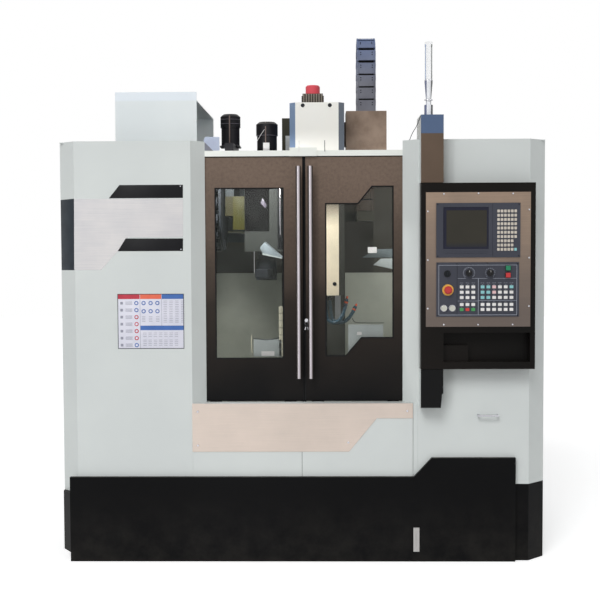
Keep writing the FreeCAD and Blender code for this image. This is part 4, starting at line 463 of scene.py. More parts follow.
# Above the splash line the walls are painted darker as painted shade.
inner_coat = coat("grey_green_inner_coat", (196, 199, 186), (176, 180, 167), 0.5,
                  dust=0.2, over=wall_shade_fade, specular=0.3)
guard_coat = coat("pale_guard_coat", (176, 184, 182), (160, 168, 166), 0.42)
cast_coat = coat("grey_casting_coat", (128, 131, 130), (112, 115, 115), 0.5, 320.0,
                 0.0004, 0.3)
head_coat = coat("dark_head_coat", (62, 69, 74), (48, 54, 58), 0.5, 320.0, 0.0004, 0.2,
                 specular=0.3)
black_motor = coat("black_motor_coat", (34, 33, 36), (24, 24, 27), 0.32, peel=0.0001,
                   dust=0.12, specular=0.25)
gear_coat = coat("gearbox_coat", (56, 59, 56), (44, 47, 42), 0.36, over=split(
    "Z", 2.131, tint(30, 29, 32)), specular=0.25)
bracket_coat = coat("magazine_bracket_coat", (64, 72, 74), (52, 58, 60), 0.4,
                    over=case_olive, specular=0.2)
column_coat = coat("column_coat", (70, 68, 56), (56, 54, 44), 0.5, 320.0, 0.0004, 0.3,
                   specular=0.2)
tool_coat = coat("oiled_black_coat", (46, 50, 54), (30, 32, 35), 0.55, 500.0, 0.0002, 0.0,
                 drift=8.0, specular=0.1)
drive_coat = coat("z_drive_coat", (92, 84, 74), (66, 60, 54), 0.42, over=split(
    "Z", 2.5455, tint(240, 92, 104)), specular=0.25)
# The post's brown is a painted reflection on its black gloss.
post_coat = coat("post_gloss", (102, 86, 73), (86, 72, 61), 0.26, peel=0.00004,
                 dust=0.05, over=post_reflection_fade, specular=0.15)
# The cable box's brown is a painted reflection of the ground on its gloss.
brown_coat = coat("cable_box_gloss", (160, 140, 124), (126, 107, 93), 0.34, peel=0.00005,
                  drift=9.0, specular=0.2)
# The cover's slate bevels are painted sky reflections, and its dark lower part is painted shade.
cover_coat = coat("head_cover_coat", (255, 255, 250), (254, 252, 244), 0.4, dust=0.05,
                  over=cover_faces)
pendant_coat = coat("pendant_black_coat", (26, 23, 21), (16, 15, 14), 0.28, peel=0.00005,
                    dust=0.03, specular=0.08)
bezel = coat("slate_bezel_plastic", (68, 70, 80), (60, 62, 71), 0.46, 1500.0, 0.00008,
             0.0, specular=0.2)
# The chain's blue top is a painted sky reflection.
chain_plastic = coat("slate_chain_plastic", (124, 126, 136), (106, 107, 117), 0.44, 900.0,
                     0.00012, 0.2, drift=6.0, over=chain_fade, specular=0.3)
# The stem's white is a painted reflection on polished chrome, with painted dark reflections on its
# flanks.
stem_gloss = coat("lamp_stem_gloss", (244, 246, 250), (236, 238, 244), 0.16,
                  peel=0.00003, over=stem_reflection_bands)
# The rods' pale blue and grey are painted reflections of the sky and of shade on the tube's two
# flanks.
lamp_blue = coat("lamp_rod_blue", (170, 190, 224), (150, 172, 210), 0.3)
lamp_grey = coat("lamp_rod_grey", (104, 108, 102), (88, 92, 88), 0.3)
motor_ring = coat("motor_joint_ring", (110, 104, 116), (94, 90, 102), 0.24)
# The ribs are painted lighter than the drive's housing: painted highlights on their edges.
rib_highlight_paint = coat("drive_rib_highlight", (158, 150, 138), (140, 132, 120), 0.4)
# This brown is a painted highlight on the magazine motor and a seam on the arm motor.
highlight_and_seam_paint = coat("brown_highlight_and_seam", (136, 116, 108), (120, 102, 96), 0.36)
# Dark sheets that are painted shade inside the magazine cover.
shade_sheet_paint = coat("painted_shade_sheet", (50, 57, 59), (42, 48, 49), 0.7, 260.0, 0.0004, 0.0,
                 over=shade_sheet_fade, specular=0.15)
gauge_plastic = coat("gauge_plastic", (190, 188, 186), (174, 172, 170), 0.3)
print("paints:", len(bpy.data.materials))

# %% [markdown]
# Bare metal here is belt-ground sheet, polished tube or blued screws, and the only difference
# is which way the lines run and how dull they are. The plastics are paints with no dust and a
# finer peel, so the paint maker serves them with other values.

# %% Metals and plastics
stainless = brushed("brushed_stainless", (206, 192, 182), (186, 175, 166),
                    (4.0, 900.0, 900.0))
# The handles' dark flanks are painted reflections.
handle_steel = brushed("brushed_handle_steel", (196, 190, 194), (168, 162, 168),
                       (900.0, 900.0, 3.0), 0.26, over=handle_reflection_bands)
plate_steel = brushed("brushed_pendant_plate", (152, 132, 115), (122, 108, 97),
                      (3.0, 900.0, 900.0), 0.34, over=plate_fade)
ground_steel = brushed("ground_steel", (196, 198, 198), (160, 162, 162),
                       (6.0, 400.0, 400.0), 0.24, dust=0.2)
dark_steel = brushed("blued_steel", (56, 57, 60), (40, 41, 44), (500.0, 500.0, 500.0),
                     0.34)
chrome = brushed("polished_chrome", (214, 214, 218), (188, 188, 194),
                 (300.0, 300.0, 300.0), 0.08)
silver_print = brushed("silver_print", (184, 181, 179), (164, 164, 168),
                       (6.0, 900.0, 900.0), 0.42)
red_plastic = plastic("red_plastic", (196, 52, 54), (180, 44, 48), 0.28)
green_plastic = plastic("green_plastic", (20, 132, 92), (16, 118, 80), 0.28)
yellow_plastic = plastic("yellow_plastic", (238, 184, 84), (228, 172, 72), 0.32)
white_key = plastic("white_key", (236, 234, 232), (224, 222, 220), 0.4)
round_cap = plastic("grey_round_cap", (200, 200, 190), (186, 186, 178), 0.35)
beige_key = plastic("beige_key", (208, 200, 188), (190, 182, 170), 0.4)
cyan_key = plastic("cyan_key", (146, 204, 206), (130, 190, 194), 0.4)
pink_key = plastic("pink_key", (232, 196, 198), (222, 184, 186), 0.4)
green_key = plastic("green_key", (74, 158, 90), (62, 144, 80), 0.4)
red_key = plastic("red_key", (206, 60, 54), (190, 50, 46), 0.4)
panel_print = plastic("pale_panel_print", (178, 184, 196), (166, 172, 186), 0.5)
black_print = plastic("black_print", (20, 20, 23), (15, 15, 18), 0.34,
                      specular=0.15)
slate_print = plastic("slate_print", (44, 52, 60), (36, 43, 50), 0.34,
                      specular=0.15)
# A near-black matte paint, nearly without gloss, for the dark front of the arm's gearbox.
matte_black_paint = plastic("matte_black_plate_paint", (12, 10, 11), (7, 7, 8), 0.55,
                      specular=0.04)
rubber = plastic("black_rubber", (22, 22, 23), (15, 15, 16), 0.62,
                 specular=0.15)
knob_plastic = plastic("black_knob_plastic", (24, 24, 26), (17, 17, 19), 0.3,
                       specular=0.25)
navy_frame = plastic("navy_screen_frame", (30, 31, 48), (24, 25, 40), 0.3,
                     specular=0.2)
hose_blue = plastic("blue_hose_plastic", (28, 74, 92), (20, 54, 68), 0.35)
olive_panel = plastic("olive_panel_paint", (64, 60, 20), (52, 54, 14), 0.4,
                      specular=0.15)
slate_sheet = plastic("slate_blue_sheet", (140, 152, 156), (118, 130, 134), 0.4)
sky_sheet = plastic("pale_blue_sheet", (204, 216, 240), (194, 204, 230), 0.4)
cream_pipe = plastic("cream_pipe_paint", (226, 222, 196), (212, 208, 182), 0.35)
hose_orange = plastic("orange_nozzle_plastic", (224, 92, 40), (206, 80, 34), 0.35)
print("materials so far:", len(bpy.data.materials))

# %% [markdown]
# The door panes are clear glass, lightly hazed by coolant. Light has to reach the inside of
# the cabinet through them, so the pane is mostly see-through by Alpha rather than refracting,
# and a noise gives the haze. The screen is dark glass over an olive panel.

# %% Glass
pane_glass, pen, surface = shader("pane_glass", Metallic=0.0, IOR=1.5, specular=0.35)
haze = pen.noise(pen.place(), 5.0, 5.0, 0.6)
pen.feed(surface["Base Color"], pen.mix(haze, tint(70, 74, 74), tint(118, 122, 116)))
pen.feed(surface["Alpha"], pen.span(haze, 0.3, 0.7, 0.07, 0.17))
pen.feed(surface["Roughness"], pen.span(haze, 0.3, 0.7, 0.02, 0.08))

lens_plastic, pen, surface = shader("clear_lens_plastic", Metallic=0.0, IOR=1.45,
                                    specular=0.3)
ribs = pen.calc("SINE", pen.calc("MULTIPLY", pen.at("Z"), 420.0))
pen.feed(surface["Base Color"], pen.fade(ribs, -1.0, 1.0, tint(232, 236, 240),
                                        tint(248, 250, 252)))
pen.feed(surface["Alpha"], pen.span(ribs, -1.0, 1.0, 0.08, 0.14))
pen.feed(surface["Roughness"], pen.span(ribs, -1.0, 1.0, 0.04, 0.12))

screen_glass, pen, surface = shader("screen_glass", Metallic=0.0, IOR=1.5, specular=0.2)
sheen = pen.noise(pen.place(), 7.0, 3.0, 0.5)
edge = pen.span(pen.at("Z"), 1.613, 1.64)
olive = pen.mix(sheen, tint(47, 45, 38), tint(56, 53, 45))
pen.feed(surface["Base Color"], pen.mix(edge, tint(38, 40, 48), olive))
pen.feed(surface["Roughness"], pen.span(sheen, 0.3, 0.7, 0.12, 0.22))
print("glass:", pane_glass.name, lens_plastic.name, screen_glass.name)

# %% [markdown]
# The carried-over nodes have the right shape, so they only change material. The table names
# each one once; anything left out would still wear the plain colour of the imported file.

# %% Dress the frame
finishes = {
    white_coat: ["left_wing", "right_wing", "front_panels", "cabinet_door"],
    cabinet_coat: ["electrical_cabinet"],
    panel_coat: ["outer_panels"],
    magazine_coat: ["magazine_cover"],
    cream_coat: ["door_rails"],
    stainless: ["sill_plate"],
    black_coat: ["plinth"],
    gauge_plastic: ["level_gauge"],
    inner_coat: ["splash_walls"],
    cast_coat: ["bed", "saddle", "table"],
    column_coat: ["column"],
    head_coat: ["spindle_head"],
    ground_steel: ["levelling_feet", "frame_guides", "saddle_guides", "y_screw", "x_screw",
                   "z_screw", "spindle"],
    black_motor: ["y_motor", "x_motor"],
    drive_coat: ["z_motor"],
    gear_coat: ["arm_gearbox"],
    bracket_coat: ["magazine_bracket"],
    post_coat: ["pendant_posts"],
    stem_gloss: ["signal_lamp_stem"],
    chrome: ["pull_handle"],
    cover_coat: ["head_cover"],
    brown_coat: ["cable_box"],
    chain_plastic: ["cable_chain"],
    tool_coat: ["arm_sleeve", "change_arm", "tool_disc", "key_switch"],
    black_print: ["change_pot"],
    door_coat: ["door_left", "door_right"],
    pane_glass: ["window_left", "window_right"],
    handle_steel: ["handle_left", "handle_right"],
    pendant_coat: ["pendant_housing"],
    plate_steel: ["pendant_plate"],
    bezel: ["display_unit", "operator_panel"],
    screen_glass: ["display_screen"],
    lens_plastic: ["signal_lamp_lens"],
    red_plastic: ["stop_button", "pause_button"],
    green_plastic: ["start_button"],
    knob_plastic: ["mode_knob", "feed_knob"],
    round_cap: ["round_button_left", "round_button_right"],
}
for material, names in finishes.items():
    for name in names:
        for held in frame["nodes"][name].material_slots:
            held.material = material
dressed = {name for names in finishes.values() for name in names}
print("undressed nodes:", sorted(set(frame["nodes"]) - dressed))

# %% [markdown]
# ## Making pieces
# Every piece is a mesh whose object sits at the origin, with its place in its points, just as
# the frame's nodes are. One helper keeps a finished bmesh as such a piece, turns its faces
# outwards, rounds its shading below a given angle and lets it ride on its body.

# %% Keep a piece
def keep(name, shape, material, body, smooth=35):
    if isinstance(shape, bmesh.types.BMesh):
        bmesh.ops.remove_doubles(shape, verts=shape.verts, dist=1e-6)
        bmesh.ops.recalc_face_normals(shape, faces=shape.faces)
        mesh = bpy.data.meshes.new(name)
        shape.to_mesh(mesh)
        shape.free()
    else:
        mesh = shape
    mesh.materials.clear()
    mesh.materials.append(material)
    mesh.polygons.foreach_set("use_smooth", [True] * len(mesh.polygons))
    mesh.set_sharp_from_angle(angle=math.radians(smooth))
    piece = show(bpy.data.objects.new(name, mesh))
    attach(piece, body)
    return piece


print("pieces can be kept")

# %% [markdown]
# Plates, prints and gaskets are flat outlines with a thickness. The slab helper takes the
# outline as points in space and pushes a second copy of it along one direction; a ring has a
# second outline for its hole. A small bevel on the outer rim catches the light.

# %% Slabs and rings
def slab(name, outline, push, material, body, bevel=0.0):
    shape = bmesh.new()
    push = Vector(push) / 1000
    near = [shape.verts.new(point) for point in outline]
    far = [shape.verts.new(point + push) for point in outline]
    shape.faces.new(near)
    shape.faces.new(far)
    count = len(outline)
    for i in range(count):
        shape.faces.new((near[i], near[(i + 1) % count], far[(i + 1) % count], far[i]))
    if bevel:
        rim = [edge for edge in shape.edges if all(v in near for v in edge.verts)]
        bmesh.ops.bevel(shape, geom=rim, offset=bevel / 1000, segments=2, affect="EDGES",
                        profile=0.5)
    return keep(name, shape, material, body)


def face(y, *points):
    """Points of a flat outline on a front face, given as pairs of X and Z."""
    return [mm(x, y, z) for x, z in points]


def grown_outline(points, by):
    """The same outline with every side moved outwards, for a frame round an opening."""
    area = sum(a[0] * b[1] - b[0] * a[1] for a, b in zip(points, points[1:] + points[:1]))
    turn = 1 if area > 0 else -1
    result = []
    for i, here in enumerate(points):
        before, after = points[i - 1], points[(i + 1) % len(points)]
        normals = []
        for start, end in ((before, here), (here, after)):
            step = Vector((end[0] - start[0], end[1] - start[1])).normalized()
            normals.append(Vector((step.y, -step.x)) * turn)
        miter = (normals[0] + normals[1]) / (1 + normals[0].dot(normals[1]))
        result.append((here[0] + miter.x * by, here[1] + miter.y * by))
    return result


def ring_slab(name, outer, inner, y, thick, material, body):
    shape = bmesh.new()
    loops = []
    for points, depth in ((outer, y), (inner, y), (inner, y + thick), (outer, y + thick)):
        loops.append([shape.verts.new(mm(x, depth, z)) for x, z in points])
    count = len(outer)
    for a, b in ((0, 1), (1, 2), (2, 3), (3, 0)):
        for i in range(count):
            j = (i + 1) % count
            shape.faces.new((loops[a][i], loops[a][j], loops[b][j], loops[b][i]))
    return keep(name, shape, material, body)


def plate(name, y, start, low, end, high, thick, material, body, bevel=0.0):
    """An upright rectangle from start to end in X and from low to high in Z."""
    outline = face(y, (start, high), (start, low), (end, low), (end, high))
    return slab(name, outline, (0, thick, 0), material, body, bevel)


def corners(left, low, right, high):
    return [(left, low), (right, low), (right, high), (left, high)]


print("slabs and rings are ready")

# %% [markdown]
# Round things are turned on a lathe: a profile of radius and height spun round an axis. Wires
# and bent rods are a curve with a round bevel. Both end as plain meshes.

# %% Turned pieces and rods
FORWARD, UP = (0, -1, 0), (0, 0, 1)


def turned(name, profile, base, axis, material, body, steps=40, smooth=35):
    shape = bmesh.new()
    frame_turn = Vector((0, 0, 1)).rotation_difference(Vector(axis)).to_matrix().to_4x4()
    place = Matrix.Translation(mm(*base)) @ frame_turn
    rings = []
    for radius, height in profile:
        if radius < 1e-6:
            rings.append([shape.verts.new(place @ mm(0, 0, height))])
            continue
        angles = [2 * math.pi * i / steps for i in range(steps)]
        rings.append([shape.verts.new(place @ mm(
            radius * math.cos(angle), radius * math.sin(angle), height)) for angle in angles])
    for low, high in zip(rings, rings[1:]):
        for i in range(steps):
            j = (i + 1) % steps
            patch = [low[i % len(low)], low[j % len(low)],
                     high[j % len(high)], high[i % len(high)]]
            patch = list(dict.fromkeys(patch))
            if len(patch) > 2:
                shape.faces.new(patch)
    return keep(name, shape, material, body, smooth)


def curve(name, points, kind="NURBS"):
    """A path through points; a NURBS one is smooth and starts and ends at its end points."""
    data = bpy.data.curves.new(name, "CURVE")
    data.dimensions = "3D"
    spline = data.splines.new(kind)
    spline.points.add(len(points) - 1)
    for held, point in zip(spline.points, points):
        held.co = (*mm(*point), 1)
    spline.order_u = 3
    spline.use_endpoint_u = True
    return data


def rod(name, points, radius, material, body):
    data = curve(name, points)
    data.bevel_depth = radius / 1000
    data.bevel_resolution = 3
    data.resolution_u = 8
    data.use_fill_caps = True
    holder = show(bpy.data.objects.new(name, data))
    graph = bpy.context.evaluated_depsgraph_get()
    mesh = bpy.data.meshes.new_from_object(holder.evaluated_get(graph))
    bpy.data.objects.remove(holder)
    return keep(name, mesh, material, body, 50)


print("turned pieces and rods are ready")

# %% [markdown]
# ## Repeated things
# Screws, keys, dial marks and louvres come by the dozen, so Geometry Nodes make them: a tree
# takes loose points, puts one small shape on each and makes the copies real. The tree has
# named inputs, and the helper sets each by its socket's identifier before the first look.

# %% Grow a piece from points
def geometry_tree(name, takes):
    tree = bpy.data.node_groups.new(name, "GeometryNodeTree")
    tree.is_modifier = True
    tree.interface.new_socket("Geometry", in_out="INPUT", socket_type="NodeSocketGeometry")
    for label, kind, value in takes:
        socket = tree.interface.new_socket(label, in_out="INPUT", socket_type="NodeSocket" + kind)
        if value is not None:
            socket.default_value = value
    tree.interface.new_socket("Material", in_out="INPUT", socket_type="NodeSocketMaterial")
    tree.interface.new_socket("Geometry", in_out="OUTPUT", socket_type="NodeSocketGeometry")
    pen = Pen(tree)
    return pen, pen.add("NodeGroupInput").outputs, pen.add("NodeGroupOutput").inputs


def copy_on_points(pen, given, put, points, shape, turn):
    """The last steps of every tree: a shape on each point, made real, with its material."""
    copies = pen.add("GeometryNodeInstanceOnPoints", {
        "Points": points, "Instance": shape, "Rotation": turn})
    real = pen.add("GeometryNodeRealizeInstances", {"Geometry": copies.outputs[0]})
    done = pen.add("GeometryNodeSetMaterial", {"Geometry": real.outputs[0],
                                               "Material": given["Material"]})
    pen.feed(put["Geometry"], done.outputs[0])


def grow(name, source, tree, material, body, slot=None, smooth=35, **sizes):
    """Runs a tree on loose points (a list) or on a mesh, and keeps the plain result."""
    if isinstance(source, list):
        mesh = bpy.data.meshes.new(name + "_points")
        mesh.from_pydata([mm(*point) for point in source], [], [])
        source = mesh
    holder = show(bpy.data.objects.new(name + "_holder", source))
    modifier = holder.modifiers.new("grow", "NODES")
    modifier.node_group = tree
    values = {label.replace("_", " "): value for label, value in sizes.items()}
    values["Material"] = material
    for item in tree.interface.items_tree:
        if item.in_out == "INPUT" and item.name in values:
            modifier[item.identifier] = values.pop(item.name)
    assert not values, values
    graph = bpy.context.evaluated_depsgraph_get()
    mesh = bpy.data.meshes.new_from_object(holder.evaluated_get(graph), depsgraph=graph)
    holder.modifiers.clear()
    bpy.data.objects.remove(holder)
    return keep(name, mesh, material, body, smooth)


print("points can grow into pieces")

# %% [markdown]
# A socket screw is a low round head with a hole in it. The tree makes a chamfered disc, lifts
# its top face inwards and pushes it down for the socket, and turns the copies to the face
# they sit in.

# %% The screw tree
pen, given, put = geometry_tree("socket_screws", [
    ("Radius", "Float", 0.005), ("Rise", "Float", 0.003), ("Turn", "Vector", (0, 0, 0))])
head = pen.add("GeometryNodeMeshCone", {
    "Vertices": 20, "Radius Top": pen.calc("MULTIPLY", given["Radius"], 0.82),
    "Radius Bottom": given["Radius"], "Depth": given["Rise"]})
lift = pen.add("GeometryNodeExtrudeMesh", {
    "Mesh": head.outputs["Mesh"], "Selection": head.outputs["Top"], "Offset Scale": 0.0},
    mode="FACES")
shrink = pen.add("GeometryNodeScaleElements", {
    "Geometry": lift.outputs["Mesh"], "Selection": lift.outputs["Top"], "Scale": 0.52})
sink = pen.add("GeometryNodeExtrudeMesh", {
    "Mesh": shrink.outputs[0], "Selection": lift.outputs["Top"],
    "Offset Scale": pen.calc("MULTIPLY", given["Rise"], -0.7)}, mode="FACES")
copy_on_points(pen, given, put, given["Geometry"], sink.outputs["Mesh"], given["Turn"])
screw_tree = pen.tree
FRONT = (math.pi / 2, 0, 0)
BACK = (-math.pi / 2, 0, 0)
print("tree:", screw_tree.name, len(screw_tree.nodes), "nodes")

# %% [markdown]
# A key cap is a rounded rectangle pushed out of the panel, a little smaller at its face. The
# caps differ only in size and colour, so one tree does all the keyboards.

# %% The key tree
pen, given, put = geometry_tree("key_caps", [
    ("Width", "Float", 0.014), ("Height", "Float", 0.012), ("Rise", "Float", 0.003),
    ("Corner", "Float", 0.002), ("Turn", "Vector", (0, 0, 0))])
frame_curve = pen.add("GeometryNodeCurvePrimitiveQuadrilateral", {
    "Width": given["Width"], "Height": given["Height"]}, mode="RECTANGLE")
rounded = pen.add("GeometryNodeFilletCurve", {
    "Curve": frame_curve.outputs[0], "Count": 3, "Radius": given["Corner"]}, mode="POLY")
base = pen.add("GeometryNodeFillCurve", {"Curve": rounded.outputs[0]}, mode="NGONS")
raised = pen.add("GeometryNodeExtrudeMesh", {
    "Mesh": base.outputs[0], "Offset Scale": given["Rise"]}, mode="FACES")
taper = pen.add("GeometryNodeScaleElements", {
    "Geometry": raised.outputs["Mesh"], "Selection": raised.outputs["Top"], "Scale": 0.9})
under = pen.add("GeometryNodeFlipFaces", {"Mesh": base.outputs[0]})
sewn = pen.add("GeometryNodeMergeByDistance", {
    "Geometry": pen.join(taper.outputs[0], under.outputs[0])})
copy_on_points(pen, given, put, given["Geometry"], sewn.outputs[0], given["Turn"])
key_tree = pen.tree
print("tree:", key_tree.name, len(key_tree.nodes), "nodes")

# %% [markdown]
# Dial marks stand in a ring round a knob. Here one bar is placed at the ring's radius and
# copied on as many points as there are marks, each turned a step further than the last.

# %% The dial tree
pen, given, put = geometry_tree("dial_marks", [
    ("Ring", "Float", 0.025), ("Length", "Float", 0.005), ("Width", "Float", 0.001),
    ("Rise", "Float", 0.0004), ("Marks", "Int", 21), ("Sweep", "Float", 4.7)])
bar = pen.add("GeometryNodeMeshCube", {
    "Size": pen.vector(given["Width"], given["Rise"], given["Length"])})
mark = pen.add("GeometryNodeTransform", {
    "Geometry": bar.outputs["Mesh"], "Translation": pen.vector(z=given["Ring"])})
where = pen.add("GeometryNodeInputPosition")
first = pen.add("GeometryNodeSampleIndex", {"Geometry": given["Geometry"],
                                            "Value": where.outputs[0]},
                data_type="FLOAT_VECTOR")
points = pen.add("GeometryNodePoints", {"Count": given["Marks"], "Position": first.outputs[0]})
index = pen.add("GeometryNodeInputIndex")
step = pen.calc("DIVIDE", given["Sweep"], pen.calc("SUBTRACT", given["Marks"], 1.0))
angle = pen.calc("SUBTRACT", pen.calc("MULTIPLY", index.outputs[0], step),
                pen.calc("MULTIPLY", given["Sweep"], 0.5))
copy_on_points(pen, given, put, points.outputs[0], mark.outputs[0], pen.vector(y=angle))
dial_tree = pen.tree
print("tree:", dial_tree.name, len(dial_tree.nodes), "nodes")

# %% [markdown]
# A coolant hose is a string of ball joints that clip together. It follows a path, so its tree
# walks along a curve at one pitch, and turns a bead to the path's direction at every step.

# %% The hose tree
pen, given, put = geometry_tree("bead_hose", [
    ("Pitch", "Float", 0.016), ("Radius", "Float", 0.009)])
steps = pen.add("GeometryNodeCurveToPoints", {"Curve": given["Geometry"],
                                              "Length": given["Pitch"]}, mode="LENGTH")
cup = pen.add("GeometryNodeMeshCone", {
    "Vertices": 14, "Radius Top": pen.calc("MULTIPLY", given["Radius"], 0.62),
    "Radius Bottom": given["Radius"], "Depth": pen.calc("MULTIPLY", given["Pitch"], 0.82)})
collar = pen.add("GeometryNodeMeshCylinder", {
    "Vertices": 14, "Radius": pen.calc("MULTIPLY", given["Radius"], 0.8),
    "Depth": pen.calc("MULTIPLY", given["Pitch"], 1.1)})
bead = pen.join(cup.outputs["Mesh"], collar.outputs["Mesh"])
copy_on_points(pen, given, put, steps.outputs["Points"], bead, steps.outputs["Rotation"])
hose_tree = pen.tree
print("tree:", hose_tree.name, len(hose_tree.nodes), "nodes")

# %% [markdown]
# ## The left wing's prints
# The wing carries a silver field with two dark bands, a dark panel on its bevel and a chart.
# They are vinyl, half a millimetre to a millimetre thick. An image could paint them on, but a
# thin slab of one colour keeps a true edge from every side.

# %% Prints on the left wing
WING = -1008.6
slab("silver_field", face(WING, (-1161, 1867), (-1165, 1505), (-1027, 1504), (-939, 1601),
                          (-887, 1671), (-605, 1671), (-603, 1865)),
     (0, 0.55, 0), silver_print, "frame")
slab("upper_band", face(WING - 0.5, (-928, 1937), (-982, 1870), (-604, 1870), (-603, 1937)),
     (0, 1.0, 0), black_print, "frame", bevel=0.3)
slab("lower_band", face(WING - 0.5, (-899, 1665), (-941, 1600), (-606, 1600), (-605, 1664)),
     (0, 1.0, 0), black_print, "frame", bevel=0.3)
side = [mm(-1160.6, -1008.5, 1869), mm(-1160.6, -1008.5, 1504),
        mm(-1249.6, -920.6, 1502), mm(-1249.6, -920.6, 1866)]
slab("bevel_panel", side, (0.5, 0.5, 0), slate_print, "frame", bevel=0.25)
print("prints on the wing:", 4)

# %% [markdown]
# The chart is a pale board with a thin dark rim, a header in three colours, a blue bar, and
# rows of dots and short lines. Dots and lines are grown from points, a colour at a time.

# %% The chart
chart_white = plastic("chart_board", (226, 226, 238), (216, 217, 230), 0.34)
chart_blue = plastic("chart_blue", (58, 104, 176), (50, 94, 164), 0.4)
chart_red = plastic("chart_red", (190, 40, 62), (176, 34, 56), 0.4)
chart_orange = plastic("chart_orange", (232, 108, 78), (222, 96, 68), 0.4)
chart_grey = plastic("chart_grey", (150, 152, 166), (138, 140, 154), 0.4)
CHART = WING - 0.5
plate("chart_board", WING - 0.1, -944, 1100, -605, 1380, 0.7, chart_white, "frame", bevel=0.2)
ring_slab("chart_rim", [(-945, 1381), (-945, 1099), (-604, 1099), (-604, 1381)],
          [(-942, 1378), (-942, 1102), (-607, 1102), (-607, 1378)], CHART - 0.2, 0.6, slate_print,
          "frame")
for name, left, right, low, high, paint in (
        ("chart_head_red", -942, -831, 1355, 1378, chart_red),
        ("chart_head_orange", -829, -720, 1355, 1378, chart_orange),
        ("chart_head_blue", -718, -607, 1355, 1378, chart_blue),
        ("chart_bar_blue", -828, -607, 1195, 1218, chart_blue),
        ("chart_line_left", -830, -828.6, 1102, 1355, chart_grey),
        ("chart_line_right", -719, -717.6, 1218, 1355, chart_grey)):
    plate(name, CHART - 0.3, left, low, right, high, 0.6, paint, "frame")
INK = CHART - 0.3
drops = [1334 - 36 * i for i in range(7)]
signs = [(-848, INK, z) for z in drops]
signs += [(x, INK, z) for z in (1334, 1292) for x in (-811, -775, -740)]
red_signs = signs[2:6]
rows = [(-887, INK, z + d) for z in drops for d in (6, 0, -6)]
cells = [(-806 + 27 * i, INK, 1180 - 9 * j) for i in range(7) for j in range(8) if j != 3]
cells += [(-700 + 30 * i, INK, 1344 - 9 * j) for i in range(4) for j in range(13)]
cells += [(-811 + 36 * i, INK, 1264 - 8 * j) for i in range(3) for j in range(4)]
for name, points, paint, width, height, rise, corner in (
        ("dots_blue", signs[:2] + signs[6:], chart_blue, 0.022, 0.022, 0.0004, 0.0109),
        ("dots_red", red_signs, chart_red, 0.022, 0.022, 0.0004, 0.0109),
        ("dot_centres", [(x, y - 0.3, z) for x, y, z in signs], chart_white, 0.013, 0.013,
         0.0004, 0.0064),
        ("marks", [(-924, INK, z) for z in drops], chart_grey, 0.014, 0.014, 0.0004, 0.002),
        ("lines", rows, chart_grey, 0.036, 0.0022, 0.0003, 0.0008),
        ("cells", cells, chart_grey, 0.019, 0.002, 0.0003, 0.0008)):
    grow(f"chart_{name}", points, key_tree, paint, "frame", Width=width, Height=height, Rise=rise,
         Corner=corner, Turn=FRONT)
print("chart cells:", len(cells) + len(rows) + len(signs))

# %% [markdown]
# ## Screws and seams
# Sheet metal is held by rows of small screws. Their places come from the photograph, set on
# the nodes that they fasten.

# %% Screws
PLATE, SILL, UPPER_UNIT, LOWER_UNIT = -1112.2, -1012.4, -1120.6, -1118.6
plate_spots = [(713, 1880), (885, 1882), (1057, 1880), (713, 1226), (885, 1226), (1057, 1226),
               (633, 1793), (633, 1550), (633, 1307), (1138, 1800), (1138, 1560), (1138, 1318)]
sill_spots = [(-538, 774), (-538, 599), (538, 776), (236, 614)]
rivet_spots = [(-616, 1930), (-616, 1608)]
unit_spots = [(682, 1827), (1086, 1827), (682, 1569), (1086, 1569)]
unit_spots += [(683, 1531), (1081, 1531), (683, 1273), (1081, 1273), (779, 1531), (930, 1535)]
for name, points, metal, body, radius, rise in (
        ("plate_screws", [(x, PLATE, z) for x, z in plate_spots], chrome, "pendant", 5, 2.8),
        ("sill_screws", [(x, SILL, z) for x, z in sill_spots], chrome, "frame", 6.5, 3.2),
        ("band_rivets", [(x, WING - 1.4, z) for x, z in rivet_spots], chrome, "frame", 3.6, 1.6),
        ("unit_screws", [(x, UPPER_UNIT if z > 1550 else LOWER_UNIT, z) for x, z in unit_spots],
         dark_steel, "pendant", 3.2, 1.8)):
    grow(name, points, screw_tree, metal, body, Radius=radius / 1000, Rise=rise / 1000, Turn=FRONT)
print("screws:", len(plate_spots) + len(sill_spots) + len(unit_spots))

# %% [markdown]
# ## The pendant
# The keyboard beside the screen is six keys wide and ten high, all beige but one. Each cap
# sits on the raised pad that the frame already has there.

# %% Keyboard
DISPLAY = -1119.6
keys = [(984 + 17 * i, DISPLAY, 1793 - 21.2 * j) for i in range(6) for j in range(10)
        if not (i == 5 and j in (7, 8))]
grow("keyboard_keys", keys[:-1], key_tree, beige_key, "pendant", "bezel_plastic",
     Width=0.0139, Height=0.0154, Rise=0.0029, Corner=0.0024, Turn=FRONT)
grow("keyboard_return_key", keys[-1:], key_tree, cyan_key, "pendant", "bezel_plastic",
     Width=0.0139, Height=0.0154, Rise=0.0029, Corner=0.0024, Turn=FRONT)
grow("keyboard_marks", [(x - 1.5, y - 2.7, z + 2) for x, y, z in keys], key_tree, slate_print,
     "pendant", Width=0.0045, Height=0.0014, Rise=0.0003, Corner=0.0003, Turn=FRONT)
ring_slab("screen_frame", corners(709.6, 1605.6, 934.4, 1813.4),
          corners(725.4, 1613.4, 926.6, 1797.6), -1118.4, 3.2, navy_frame, "pendant")
print("keys:", len(keys))

# %% [markdown]
# Below the screen two blocks of square keys are sorted by colour, with a small bar printed
# over each. The keys are kept by their column and row, so that a colour can be named as a list
# of them and every other key is white.

